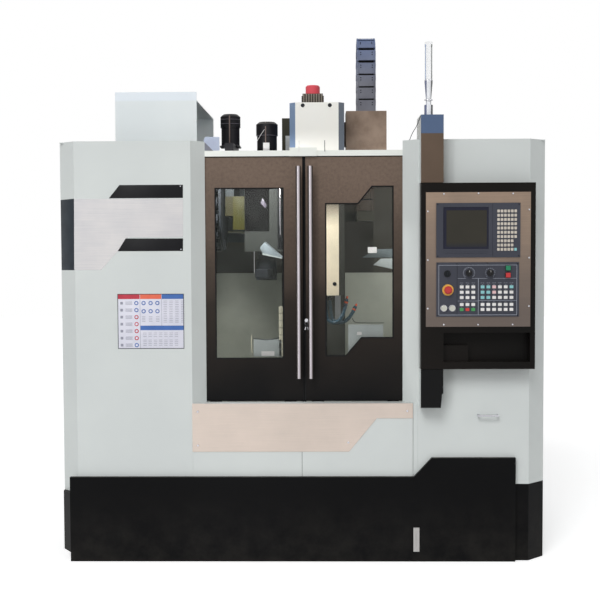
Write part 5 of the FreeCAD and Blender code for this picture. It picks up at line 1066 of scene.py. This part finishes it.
# %% Operator panel keys
PANEL = -1117.6
rows = [1415, 1388.5, 1362, 1327, 1302]
left_keys = {(i, j): (802 + 28.8 * i, PANEL, rows[j]) for i in range(3) for j in range(5)}
right_keys = {(i, j): (906 + 28.8 * i, PANEL, rows[j]) for i in range(6) for j in range(5)}
cyan_spots = ((0, 0), (1, 0), (5, 0), (0, 1), (1, 1), (0, 2), (1, 2))
coloured = {"cyan": [right_keys[k] for k in cyan_spots],
            "pink": [right_keys[k] for k in ((2, 0), (2, 1))],
            "green": [left_keys[k] for k in ((0, 4), (2, 4))],
            "red": [left_keys[(1, 4)]]}
taken = [point for points in coloured.values() for point in points]
both_blocks = [*left_keys.values(), *right_keys.values()]
coloured["white"] = [point for point in both_blocks if point not in taken]
paints = {"cyan": cyan_key, "pink": pink_key, "green": green_key, "red": red_key,
          "white": white_key}
for colour, points in coloured.items():
    grow(f"panel_keys_{colour}", points, key_tree, paints[colour], "pendant", "bezel_plastic",
         Width=0.0205, Height=0.0165, Rise=0.003, Corner=0.0018, Turn=FRONT)
PRINT = -1118.2
marks = [(x, PRINT, z + 12.2) for x, y, z in both_blocks]
marks += [(x + d, PRINT, 1435) for x, y, z in both_blocks if z == rows[0] for d in (-5, 5)]
grow("panel_key_marks", marks, key_tree, panel_print, "pendant", Width=0.0075, Height=0.0016,
     Rise=0.0003, Corner=0.0003, Turn=FRONT)
print("panel keys:", len(marks))

# %% [markdown]
# Thin pale lines part the operator panel into fields: one round the whole panel, one under
# the dials and one between the two blocks of keys. Rings of marks stand round the two dials.

# %% Panel lines and dials
lines = [(687, 1275, 688.6, 1524), (1076, 1275, 1077.6, 1524), (687, 1523, 1077.6, 1524.6),
         (687, 1274, 1077.6, 1275.6), (783, 1457, 1077, 1458.2), (884, 1275, 885.8, 1457),
         (783, 1344, 884, 1345.2), (885, 1346, 1077, 1347.2)]
for i, (left, low, right, high) in enumerate(lines):
    plate(f"panel_line_{i}", -1118.5, left, low, right, high, 0.7, panel_print, "pendant")
plate("panel_seam", -1118.4, 778, 1276, 780, 1523, 0.6, black_print, "pendant")
DIAL, KNOB_TOP = -1120.4, -1142.2
for name, x, ring, marks in (("mode", 838, 27.5, 25), ("feed", 944, 23.5, 13)):
    grow(f"{name}_marks", [(x, DIAL, 1485)], dial_tree, panel_print, "pendant",
         Ring=ring / 1000, Length=0.0058, Width=0.0014, Rise=0.0006, Marks=marks, Sweep=4.7)
    plate(f"{name}_pointer", KNOB_TOP, x - 0.8, 1489, x + 0.8, 1498, 1.2, white_key,
          f"{name}_knob")
    turned(f"{name}_grip_ring", [(14.2, 0), (16.4, 0.2), (16.4, 2.6), (14.2, 4.4)],
           (x, -1120.9, 1485), FORWARD, knob_plastic, f"{name}_knob")
print("panel lines:", len(lines))

# %% [markdown]
# The stop button stands on a yellow ring, the round buttons in bright ones, the two lit
# buttons in square black frames and the key switch in a dark collar. The round ones are turned
# with a hole, so that each button has its own bezel and can move through it.

# %% Bezels round the buttons
turned("stop_ring", [(10.5, 0), (29.3, 0), (29.3, 3.4), (27.4, 5.2), (12.0, 5.4), (10.5, 4.6),
                     (10.5, 0)], (733, -1117.4, 1400), FORWARD, yellow_plastic, "pendant")
for name, x in (("left", 713), ("right", 755)):
    turned(f"round_{name}_bezel", [(14.4, 0), (17.2, 0), (17.2, 2.2), (16.2, 3.4), (14.4, 3.4),
                                   (14.4, 0)], (x, -1117.8, 1309), FORWARD, chrome, "pendant")
for name, z, paint in (("start", 1509, green_plastic), ("pause", 1474, red_plastic)):
    ring_slab(f"{name}_bezel", corners(1018.5, z - 13.5, 1045.5, z + 13.5),
              corners(1019.9, z - 12.1, 1044.1, z + 12.1), UPPER_UNIT, 3.0, knob_plastic,
              "pendant")
turned("key_switch_bezel", [(13.4, 0), (17.0, 0), (17.0, 1.6), (15.6, 3.0), (13.4, 3.0),
                            (13.4, 0)], (730, -1117.8, 1481), FORWARD, knob_plastic,
       "pendant")
print("round controls are dressed")

# %% [markdown]
# ## The doors
# A rubber gasket holds each pane. It is a narrow frame round the pane's outline, so it comes
# from the outline itself, once moved outwards and once moved in.

# %% Gaskets
left_view = [(-446, 1041), (-96, 1041), (-96, 1920), (-446, 1920)]
right_view = [(124, 1053), (226, 1053), (307, 1147), (470, 1147), (470, 1927), (362, 1927),
              (290, 1839), (124, 1839)]
for name, outline, body in (("left", left_view, "door_left"), ("right", right_view, "door_right")):
    ring_slab(f"{name}_gasket", grown_outline(outline, 3.5), grown_outline(outline, -3.5),
              -934.2, 2.6, rubber, body)
print("gaskets:", 2)

# %% [markdown]
# Where the doors meet, each has a rubber edge, and a seal strip on the left door closes the
# gap behind them. A wiper strip fills the slit between the header and the doors' tops.

# %% Seals
DOOR_SKIN = -933.8
for name, left, right, depth, thick, low, high, body in (
        ("left_edge", 3.6, 7.6, DOOR_SKIN, 33.0, 806, 2107, "door_left"),
        ("right_edge", 10.4, 19.5, DOOR_SKIN, 3.0, 806, 2107, "door_right"),
        ("top_wiper_left", -519, 3.6, DOOR_SKIN, 2.0, 2079, 2106, "door_left"),
        ("top_wiper_right", 19.5, 540, DOOR_SKIN, 2.0, 2079, 2106, "door_right"),
        ("gap_seal", -10, 14, -903.2, 3.0, 806, 2107, "door_left"),
        ("left_side_edge", -520.6, -515, -934.0, 3.0, 806, 2107, "door_left")):
    plate(f"door_{name}", depth, left, low, right, high, thick, rubber, body)
print("door seals are in")

# %% [markdown]
# The lock is a barrel in the right door with a key in it, and a ring with two more keys hangs
# from that. They are flat blades with round black bows, so slabs and lathe work are enough.

# %% Door lock and keys
turned("door_lock", [(0, 0), (10.8, 0), (10.8, 13.0), (9.4, 14.8), (0, 14.8)],
       (23, -932.6, 1238), FORWARD, chrome, "door_right")
plate("lock_key", -958, 22.2, 1231, 23.8, 1245, 11, chrome, "door_right")
turns = [2 * math.pi * i / 12 for i in range(13)]
key_ring = [(23 + 9 * math.sin(turn), -955, 1223 + 9 * math.cos(turn)) for turn in turns]
rod("key_ring", key_ring, 0.9, chrome, "door_right")
for i, (x, lean) in enumerate(((20, -5), (26, 6))):
    blade = [(x, 1217), (x - 2 + lean, 1190), (x + 3 + lean, 1190), (x + 4, 1217)]
    slab(f"hanging_key_{i}", face(-956 - i * 1.6, *blade), (0, 1.4, 0), chrome, "door_right")
    turned(f"hanging_key_bow_{i}", [(0, 0), (8, 0), (8, 1.6), (0, 1.6)],
           (x + 1.5, -954.6 - i * 1.6, 1212), FORWARD, knob_plastic, "door_right")
print("the lock has its keys")

# %% [markdown]
# ## Lamp and chain
# The signal lamp is a clear tube on a polished stem. Two rods run up inside the tube, and the
# tube stands for the solid lens of the frame.

# %% Signal lamp
LAMP_X, LAMP_Y = 641, -1058
lens = turned("signal_lamp_tube", [(18.6, 0), (20.5, 0), (20.5, 186), (17.5, 190), (0, 190),
                                   (0, 188), (17.0, 188), (18.6, 185), (18.6, 0)],
              (LAMP_X, LAMP_Y, 2451), UP, lens_plastic, "frame")
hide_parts("signal_lamp_lens")
# The left rod's pale blue and the right rod's grey are painted reflections on the tube's flanks.
for side, x, paint in (("left", 625.5, lamp_blue), ("right", 656.0, lamp_grey)):
    turned(f"lamp_rod_{side}", [(0, 0), (2.6, 0), (2.2, 160), (3.6, 166), (3.6, 176), (0, 176)],
           (x, LAMP_Y, 2452), UP, paint, "frame", 16)
for name, z in (("low", 2349), ("high", 2446)):
    turned(f"lamp_collar_{name}", [(19.8, 0), (21.2, 0.6), (21.2, 4.4), (19.8, 5)],
           (LAMP_X, LAMP_Y, z), UP, chrome, "frame")
rod("lamp_wire", [(600, -1080, 2274), (588, -1030, 2228), (566, -950, 2196), (556, -915, 2162)],
    1.6, slate_print, "frame")
print("lamp parts are in")

# %% [markdown]
# The energy chain bends between the column and the head. Its links sit at one pitch on a path
# that rises behind, turns over and comes down in front. A tree sets one link on each point of
# the path and leans it along the path's direction; a second tree lays the dark hose bundle and
# the rivets the same way. Both are then taken off every body, so the chain rides on none.

# %% The link trees
def copy_along_chain(pen, given, put, link):
    """One link on each point of the path, leaning with it round the path's own X axis."""
    stops = pen.add("GeometryNodeCurveToPoints", {"Curve": given["Geometry"]}, mode="EVALUATED")
    lean = pen.add("FunctionNodeAlignRotationToVector", {"Vector": stops.outputs["Tangent"]},
                   axis="Z", pivot_axis="X")
    copy_on_points(pen, given, put, stops.outputs["Points"], link, lean.outputs["Rotation"])


def block(pen, size, place):
    cube = pen.add("GeometryNodeMeshCube", {"Size": size})
    return pen.add("GeometryNodeTransform", {"Geometry": cube.outputs["Mesh"],
                                             "Translation": place}).outputs[0]


pen, given, put = geometry_tree("chain_links", [
    ("Width", "Float", 0.106), ("Depth", "Float", 0.058), ("Pitch", "Float", 0.071)])
WALL, LID, JOINT_GAP = 0.009, 0.004, 0.0035
link = []
for side in (-1, 1):
    reach = pen.calc("SUBTRACT", given["Width"], WALL)
    link.append(block(
        pen, pen.vector(WALL, given["Depth"], pen.calc("SUBTRACT", given["Pitch"], JOINT_GAP)),
        pen.vector(pen.calc("MULTIPLY", reach, 0.5 * side))))
    cover = pen.vector(pen.calc("SUBTRACT", given["Width"], 0.02), LID,
                       pen.calc("SUBTRACT", given["Pitch"], 0.009))
    inset = pen.calc("SUBTRACT", given["Depth"], 0.006)
    link.append(block(pen, cover, pen.vector(y=pen.calc("MULTIPLY", inset, 0.5 * side))))
    boss = pen.add("GeometryNodeMeshCylinder", {"Vertices": 24, "Radius": 0.019, "Depth": 0.0024})
    seat = pen.vector(pen.calc("MULTIPLY", given["Width"], 0.5 * side),
                      z=pen.calc("MULTIPLY", given["Pitch"], -0.27))
    link.append(pen.add("GeometryNodeTransform", {
        "Geometry": boss.outputs["Mesh"], "Translation": seat,
        "Rotation": (0, math.pi / 2, 0)}).outputs[0])
copy_along_chain(pen, given, put, pen.join(*link))
link_tree = pen.tree

pen, given, put = geometry_tree("chain_core", [
    ("Width", "Float", 0.082), ("Depth", "Float", 0.044), ("Pitch", "Float", 0.071)])
core = [block(pen, pen.vector(given["Width"], given["Depth"], given["Pitch"]), (0, 0, 0))]
for side in (-1, 1):
    pin = pen.add("GeometryNodeMeshCylinder", {"Vertices": 10, "Radius": 0.0032, "Depth": 0.0585})
    for rise in (-0.017, -0.004):
        core.append(pen.add("GeometryNodeTransform", {
            "Geometry": pin.outputs["Mesh"], "Rotation": (math.pi / 2, 0, 0),
            "Translation": (side * 0.033, 0, rise)}).outputs[0])
copy_along_chain(pen, given, put, pen.join(*core))
core_tree = pen.tree
print("trees:", link_tree.name, len(link_tree.nodes), "and", core_tree.name, len(core_tree.nodes))

# %% [markdown]
# The path is three pieces: the run that rises behind, half a turn at the top and the run that
# comes down in front. Its stops are one pitch apart, so each carries one link. The chain is
# grown on the frame and then taken off it, so it rides on no body.

# %% Energy chain
CHAIN_X, CHAIN_TOP, PITCH = 364, 2675, 71
BACK_RUN, FRONT_RUN = 102, -138
middle, half = (BACK_RUN + FRONT_RUN) / 2, (BACK_RUN - FRONT_RUN) / 2
stops = [(CHAIN_X, BACK_RUN, CHAIN_TOP - (i + 0.5) * PITCH) for i in range(11, -1, -1)]
for i in range(6):
    angle = math.radians(15 + 30 * i)
    stops.append((CHAIN_X, middle + half * math.cos(angle), CHAIN_TOP + 126 * math.sin(angle)))
stops += [(CHAIN_X, FRONT_RUN, CHAIN_TOP - (i + 0.5) * PITCH) for i in range(4)]
for name, tree, paint, width, depth in (
        ("energy_chain_links", link_tree, chain_plastic, 0.106, 0.058),
        ("energy_chain_hoses", core_tree, rubber, 0.082, 0.044)):
    chain = grow(name, curve("chain_path", stops, "POLY"), tree, paint, "frame", "chain_plastic",
                 Width=width, Depth=depth, Pitch=PITCH / 1000)
    chain.parent = None
    del chain["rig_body"]
    if name == "energy_chain_links":
        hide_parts("cable_chain")
    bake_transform(chain)
    print(name, "faces:", len(chain.data.polygons))

# %% [markdown]
# ## Inside the cabinet
# Through the panes one sees covers and pipes. A folded guard hides the change arm's corner and
# a bent pipe feeds the coolant. Both are plain enough for slabs and a rod.

# %% Guards and pipe
guard = [mm(-211, -596, 1640), mm(-235, -596, 1611), mm(-220, -596, 1582), mm(-115, -596, 1558)]
slab("arm_guard", guard, (0, 3, 0), slate_sheet, "frame", bevel=1.0)
slab("arm_guard_lip", [mm(-220, -600, 1582), mm(-222, -600, 1573), mm(-113, -600, 1551),
                       mm(-115, -600, 1558)], (0, 6, 0), guard_coat, "frame")
slab("arm_guard_flange", [mm(-211, -596, 1640), mm(-115, -596, 1558), mm(-115, -420, 1558),
                          mm(-211, -420, 1640)], (2, 0, 2), slate_sheet, "frame")
rod("coolant_pipe", [(-463, -60, 1702), (-420, -60, 1702), (-367, -60, 1701), (-340, -60, 1690),
                     (-324, -60, 1640)], 6.5, cream_pipe, "frame")
print("guards and pipe are in")

# %% [markdown]
# The arm's gearbox shows through the left pane as dark plates with a bright rail, and an olive
# panel stands beside it. They are bevelled slabs just in front of the solid gearbox.

# %% Gearbox plates
GEARBOX = -410.5
for name, y, start, low, end, high, thick, paint, slot in (
        ("olive_panel", -372, -398, 1712, -330, 1900, 3, olive_panel, "inner_paint"),
        ("gearbox_cover", GEARBOX, -329, 1703, -191, 2095, 3, matte_black_paint, "motor_paint"),
        ("gearbox_rail_bed", GEARBOX, -112, 1600, -145, 2095, 3, black_print, "motor_paint"),
        ("gearbox_rail", GEARBOX - 3, -126, 1681, -132, 2000, 5, chrome, "chrome")):
    plate(name, y, start, low, end, high, thick, paint, "frame", bevel=1.0)
slab("arm_catch", face(-415, (-226, 1888), (-240, 1862), (-214, 1832), (-205, 1846)),
     (0, 5, 0), motor_ring, "frame", bevel=1.5)
print("gearbox plates are on")

# %% [markdown]
# Small pale plates, labels and wires show low behind the panes. What holds them can't be seen,
# so they hang on the doors' inner faces and ride with the doors.

# %% Plates behind the panes
BEHIND = -900.5
for side, name, left, low, right, high in (("right", "drip_plate", 239, 830, 421, 1212),
                                           ("left", "tray_plate", -254, 1046, -108, 1136)):
    plate(name, BEHIND, left, low, right, high, 2.5, guard_coat, f"door_{side}",
          bevel=1.0)
for side, name, left, low, right, high in (("right", "drip_label", 285, 1158, 309, 1174),
                                           ("left", "tray_label", -214, 1050, -146, 1074)):
    plate(name, BEHIND - 1.4, left, low, right, high, 1.6, white_key, f"door_{side}")
rod("drip_wire", [(262, BEHIND, 1246), (264, BEHIND, 1226), (300, BEHIND, 1220),
                  (424, BEHIND, 1221)], 1.8, slate_print, "door_right")
rod("tray_wire", [(-254, BEHIND, 1141), (-220, BEHIND, 1138), (-180, BEHIND, 1131),
                  (-120, BEHIND, 1144)], 1.8, slate_print, "door_left")
rod("tray_clip", [(-264, BEHIND + 1, 1158), (-268, BEHIND + 1, 1110), (-262, BEHIND + 1, 1066)],
    2.4, cream_pipe, "door_left")
for step in range(7):
    low = 1048 + step * 37.5
    plate(f"scale_plate_{step}", BEHIND, -122, low, -102, low + 35, 2.5, cream_pipe, "door_left",
          bevel=1.0)
print("plates behind the panes are in")

# %% [markdown]
# A folded sheet closes the corner beside the magazine, with a grey triangle of painted shade on
# it, and two small shelves hang on the right wall inside. Three dark bolts hold the cover to the
# head and move with it.

# %% Sheets and shelves
slab("corner_sheet", face(-640, (-533, 2189), (-534, 2140), (-482, 2137), (-447, 2137),
                          (-447, 2210), (-525, 2211)),
     (0, 2, 0), sky_sheet, "frame")
# A grey triangle laid on the sheet as painted shade.
slab("corner_sheet_shade", face(-642.5, (-533, 2188), (-534, 2138), (-482, 2136)), (0, 2, 0),
     chart_grey, "frame")
slab("wall_shelf", [mm(335, -300, 1554), mm(409, -330, 1600), mm(900, -330, 1604),
                    mm(900, -300, 1554)],
     (0, 2, -3), slate_sheet, "frame", bevel=1.0)
plate("wall_shelf_card", -336, 363, 1577, 414, 1611, 1.2, white_key, "frame")
slab("lower_shelf", [mm(395, -300, 1509), mm(440, -300, 1545), mm(900, -300, 1548),
                     mm(900, -300, 1482), mm(520, -300, 1482)], (0, 2, 0), guard_coat, "frame",
     bevel=1.0)
COVER = -448.2
bolts = [(174, COVER, 1407), (150, COVER, 2398), (0, COVER, 2398)]
grow("cover_bolts", bolts, screw_tree, dark_steel, "head", "cabinet_paint", Radius=0.011,
     Rise=0.004, Turn=FRONT)
print("sheets and shelves are in")

# %% [markdown]
# Coolant hoses hang from the head beside the nose: strings of ball joints with an orange
# nozzle at the end. The hose tree lays the beads along each path.

# %% Coolant hoses
hose_paths = {
    "near": [(120, -384, 1322), (124, -388, 1260), (132, -392, 1200), (176, -396, 1180),
             (222, -396, 1222), (240, -392, 1306)],
    "far": [(146, -364, 1322), (150, -366, 1256), (158, -370, 1196), (212, -372, 1180),
            (262, -372, 1212), (286, -368, 1264)],
    "left": [(-8, -352, 1322), (-20, -366, 1270), (-18, -362, 1226), (6, -346, 1196)],
}
for name, path in hose_paths.items():
    grow(f"hose_{name}", curve(name, path), hose_tree, hose_blue, "head", "chain_plastic",
         Pitch=0.021, Radius=0.0125)
    foot, tip = Vector(path[-2]), Vector(path[-1])
    aim = (tip - foot).normalized()
    turned(f"nozzle_{name}", [(0, -10), (11.5, -10), (11.0, 4), (6.5, 20), (5.0, 30), (0, 30)],
           tuple(tip), aim, hose_orange, "head", 20)
    root = Vector(path[0])
    turned(f"hose_foot_{name}", [(0, -16), (15, -16), (15, 6), (12, 10), (0, 10)],
           tuple(root), (Vector(path[1]) - root).normalized(), dark_steel, "head",
           24)
print("hoses:", len(hose_paths))

# %% [markdown]
# ## Behind the header
# The motors are black drums with a bright ring at each joint and a pale terminal plate. A brown
# strip runs up the front of each: a painted highlight on the magazine motor, a seam on the arm
# motor. The drive over the head has cooling ribs round its housing, painted light as highlights.

# %% Motors and drive
motor_rings = [("magazine_motor_ring_low", -428, -108, 2328, 58),
               ("magazine_motor_ring_high", -428, -108, 2353, 58),
               ("magazine_motor_foot", -428, -108, 2204, 54),
               ("arm_motor_ring", -215, -108, 2259, 63)]
# Brown strips: a painted highlight on the magazine motor, a seam on the arm motor.
motor_highlight_and_seam = {
    "magazine_motor_cable": [(-429, -164, 2206), (-429, -169, 2240), (-429, -169, 2340),
                             (-429, -166, 2374)],
    "arm_motor_cable": [(-220, -170, 2188), (-220, -172, 2230), (-220, -174, 2300),
                        (-220, -160, 2334)]}
for name, x, y, z, radius in motor_rings:
    turned(name, [(radius - 3, 0), (radius + 0.5, 0.2), (radius + 1.2, 1.2), (radius + 0.5, 2.2),
                  (radius - 3, 2.4)], (x, y, z), UP, motor_ring, "frame")
for name, points in motor_highlight_and_seam.items():
    rod(name, points, 3.2, highlight_and_seam_paint, "frame")
rod("arm_motor_lead", [(-226, -176, 2292), (-244, -176, 2268), (-270, -166, 2226)], 1.6,
    white_key, "frame")
plate("arm_motor_terminal", -176, -235, 2136, -198, 2216, 14, white_key, "frame",
      bevel=1.5)
# The ribs' light paint is a painted highlight on their edges.
ribs = [(50 + s * 15.5 * i, 219.4, 2483.5) for s in (-1, 1) for i in (0.5, 1.5, 2.5, 3.5)]
grow("drive_ribs", ribs, key_tree, rib_highlight_paint, "frame", "motor_paint", Width=0.0062, Height=0.118,
     Rise=0.0045, Corner=0.001, Turn=FRONT)
HEADER = -951.8
for name, x in (("left", -12), ("right", 120)):
    rod(f"header_pin_{name}", [(x, HEADER, z) for z in (2106, 2134, 2162)], 1.7,
        slate_print if x > 0 else white_key, "frame")
print("motor details:", len(motor_rings) + len(motor_highlight_and_seam))

# %% [markdown]
# The magazine's cover is a white box that stands open to the right. Its inside is painted shade:
# a dark slab just clear of each inner wall, paler in its lower half as painted light.

# %% Magazine shade sheets
for name, corners, push in (
        ("back", [mm(-1008, 364, 1502), mm(-573, 364, 1502), mm(-573, 364, 2407),
                  mm(-1008, 364, 2407)], (0, -1.5, 0)),
        ("left", [mm(-1011, 363, 1502), mm(-1011, -614, 1502), mm(-1011, -614, 2407),
                  mm(-1011, 363, 2407)], (1.5, 0, 0)),
        ("top", [mm(-1009, 362, 2407.5), mm(-1009, -612, 2407.5), mm(-573, -612, 2407.5),
                 mm(-573, 362, 2407.5)], (0, 0, -1.5))):
    slab(f"magazine_shade_sheet_{name}", corners, push, shade_sheet_paint, "frame")
print("the magazine is lined")

# %% [markdown]
# ## The electrical cabinet at the back
# Its door breathes through two fields of louvres. Each louvre is a small hood with a slot below
# it, and the key tree grows both as long low caps; the slot is a thin black cap, painted shade
# for the opening. A dark lock finishes the door.

# %% Cabinet louvres
DOOR_BACK = 1150.4
louvres = [(x, DOOR_BACK, z) for x in (-120, 200) for z in range(620, 860, 24)]
louvres += [(x, DOOR_BACK, z) for x in (-120, 200) for z in range(1820, 1990, 24)]
grow("cabinet_louvres", louvres, key_tree, white_coat, "cabinet_door", "cabinet_paint",
     Width=0.19, Height=0.011, Rise=0.007, Corner=0.005, Turn=BACK)
# Thin black caps below the louvres: painted shade in the openings.
grow("louvre_slots", [(x, y, z - 8) for x, y, z in louvres], key_tree, black_print,
     "cabinet_door", "cabinet_paint", Width=0.18, Height=0.004, Rise=0.0006, Corner=0.0015,
     Turn=BACK)
turned("cabinet_lock", [(0, 0), (24, 0), (24, 4), (21, 7), (15, 8), (15, 16), (0, 16)],
       (-290, 1150, 1300), (0, 1, 0), dark_steel, "cabinet_door")
print("louvres:", len(louvres))

# %% [markdown]
# ## Camera
# The photograph was taken from the front, nearly seven metres away and 1.66 metres up, looking
# a little down. Its turn is written as three directions, which make the camera's matrix.

# %% The camera
PAN, TILT, ROLL = math.radians(1.11), math.radians(2.96), math.radians(-0.26)
EYE, FOCAL_LENGTH, SENSOR_WIDTH = Vector((0.107, -7.004, 1.657)), 70.5, 36
right = Vector((math.cos(PAN), math.sin(PAN), 0))
ahead = Vector((-math.sin(PAN) * math.cos(TILT), math.cos(PAN) * math.cos(TILT), -math.sin(TILT)))
above = right.cross(ahead)
level = right * math.cos(ROLL) + above * math.sin(ROLL)
upright = above * math.cos(ROLL) - right * math.sin(ROLL)
lens_data = bpy.data.cameras.new("front_camera")
lens_data.lens = FOCAL_LENGTH
lens_data.sensor_width = SENSOR_WIDTH
camera = show(bpy.data.objects.new("front_camera", lens_data))
camera.matrix_world = Matrix.Translation(EYE) @ Matrix(
    (level, upright, -ahead)).transposed().to_4x4()
bpy.context.scene.camera = camera
print("camera:", [round(v, 3) for v in camera.location])

# %% [markdown]
# ## Floor and light
# The background is plain white. The world is white for the camera and for reflections and a
# calmer grey for lighting, and the floor adds a little of its own light for the camera alone,
# so it fades into the white but keeps the shadow below the plinth.

# %% The floor
def background_rays(pen):
    """1 where the camera, a reflection or glass looks at the background, and 0 for its light."""
    rays = pen.add("ShaderNodeLightPath").outputs
    seen = pen.calc("MAXIMUM", rays["Is Camera Ray"], rays["Is Glossy Ray"])
    return pen.calc("MAXIMUM", seen, rays["Is Transmission Ray"])


shape = bmesh.new()
bmesh.ops.create_grid(shape, x_segments=12, y_segments=12, size=14)
bmesh.ops.translate(shape, verts=shape.verts, vec=(0, 4, -0.0005))
mesh = bpy.data.meshes.new("studio_floor")
shape.to_mesh(mesh)
shape.free()
floor = show(bpy.data.objects.new("studio_floor", mesh))
floor_paint, pen, surface = shader("studio_floor", Roughness=0.9, specular=0.0)
drift = pen.noise(pen.place(), 0.8, 3.0)
pen.feed(surface["Base Color"], pen.mix(drift, tint(238, 238, 238), tint(235, 236, 237)))
pen.feed(surface["Emission Color"], (1, 1, 1, 1))
pen.feed(surface["Emission Strength"], pen.calc("MULTIPLY", background_rays(pen), 0.55))
mesh.materials.append(floor_paint)
print("floor faces:", len(mesh.polygons))

# %% [markdown]
# A high sun from the front gives the sheet metal its shape, a weak one from the side lifts the
# shadows, and a tall softbox draws the long highlight on tubes and gloss. Two small lamps under
# the cabinet's roof light what the panes show; the camera doesn't see the lamps themselves.

# %% The light
world = bpy.data.worlds.new("studio")
bpy.context.scene.world = world
world.use_nodes = True
pen = Pen(world.node_tree)
backdrop = world.node_tree.nodes["Background"]
pen.feed(backdrop.inputs["Color"], (1.0, 1.0, 1.0, 1.0))
LIGHTING, VIEW = 0.34, 1.0
pen.feed(backdrop.inputs["Strength"],
         pen.calc("MULTIPLY_ADD", background_rays(pen), VIEW - LIGHTING, LIGHTING))


def sun(name, aim, strength, spread):
    light = bpy.data.lights.new(name, "SUN")
    light.energy = strength
    light.angle = math.radians(spread)
    lamp = show(bpy.data.objects.new(name, light))
    lamp.rotation_euler = Vector(aim).to_track_quat("-Z", "Y").to_euler()


def softbox(name, width, height, power, place, back):
    """A rectangular lamp; back is the direction away from what it lights."""
    light = bpy.data.lights.new(name, "AREA")
    light.shape = "RECTANGLE"
    light.size, light.size_y, light.energy = width, height, power
    lamp = show(bpy.data.objects.new(name, light))
    turn = Vector(back).to_track_quat("Z", "Y").to_matrix().to_4x4()
    lamp.matrix_world = Matrix.Translation(place) @ turn
    return lamp


sun("key_light", (0.24, 0.72, -0.64), 1.22, 24)
sun("fill_light", (-0.7, 0.6, -0.35), 0.3, 40)
softbox("tall_softbox", 0.5, 3.0, 34, (-2.2, -5.5, 2.2), (-2.2, -5.5, 0.6))
for side, x, lean, power in (("left", -0.36, 0.1, 9.5), ("right", 0.72, -0.1, 5)):
    work = softbox(f"work_light_{side}", 0.3, 0.12, power, (x, -0.8, 2.04), (-lean, -0.5, 1))
    work.visible_camera = False
bpy.context.scene.view_settings.view_transform = "Standard"
print("lights:", len(bpy.data.lights))
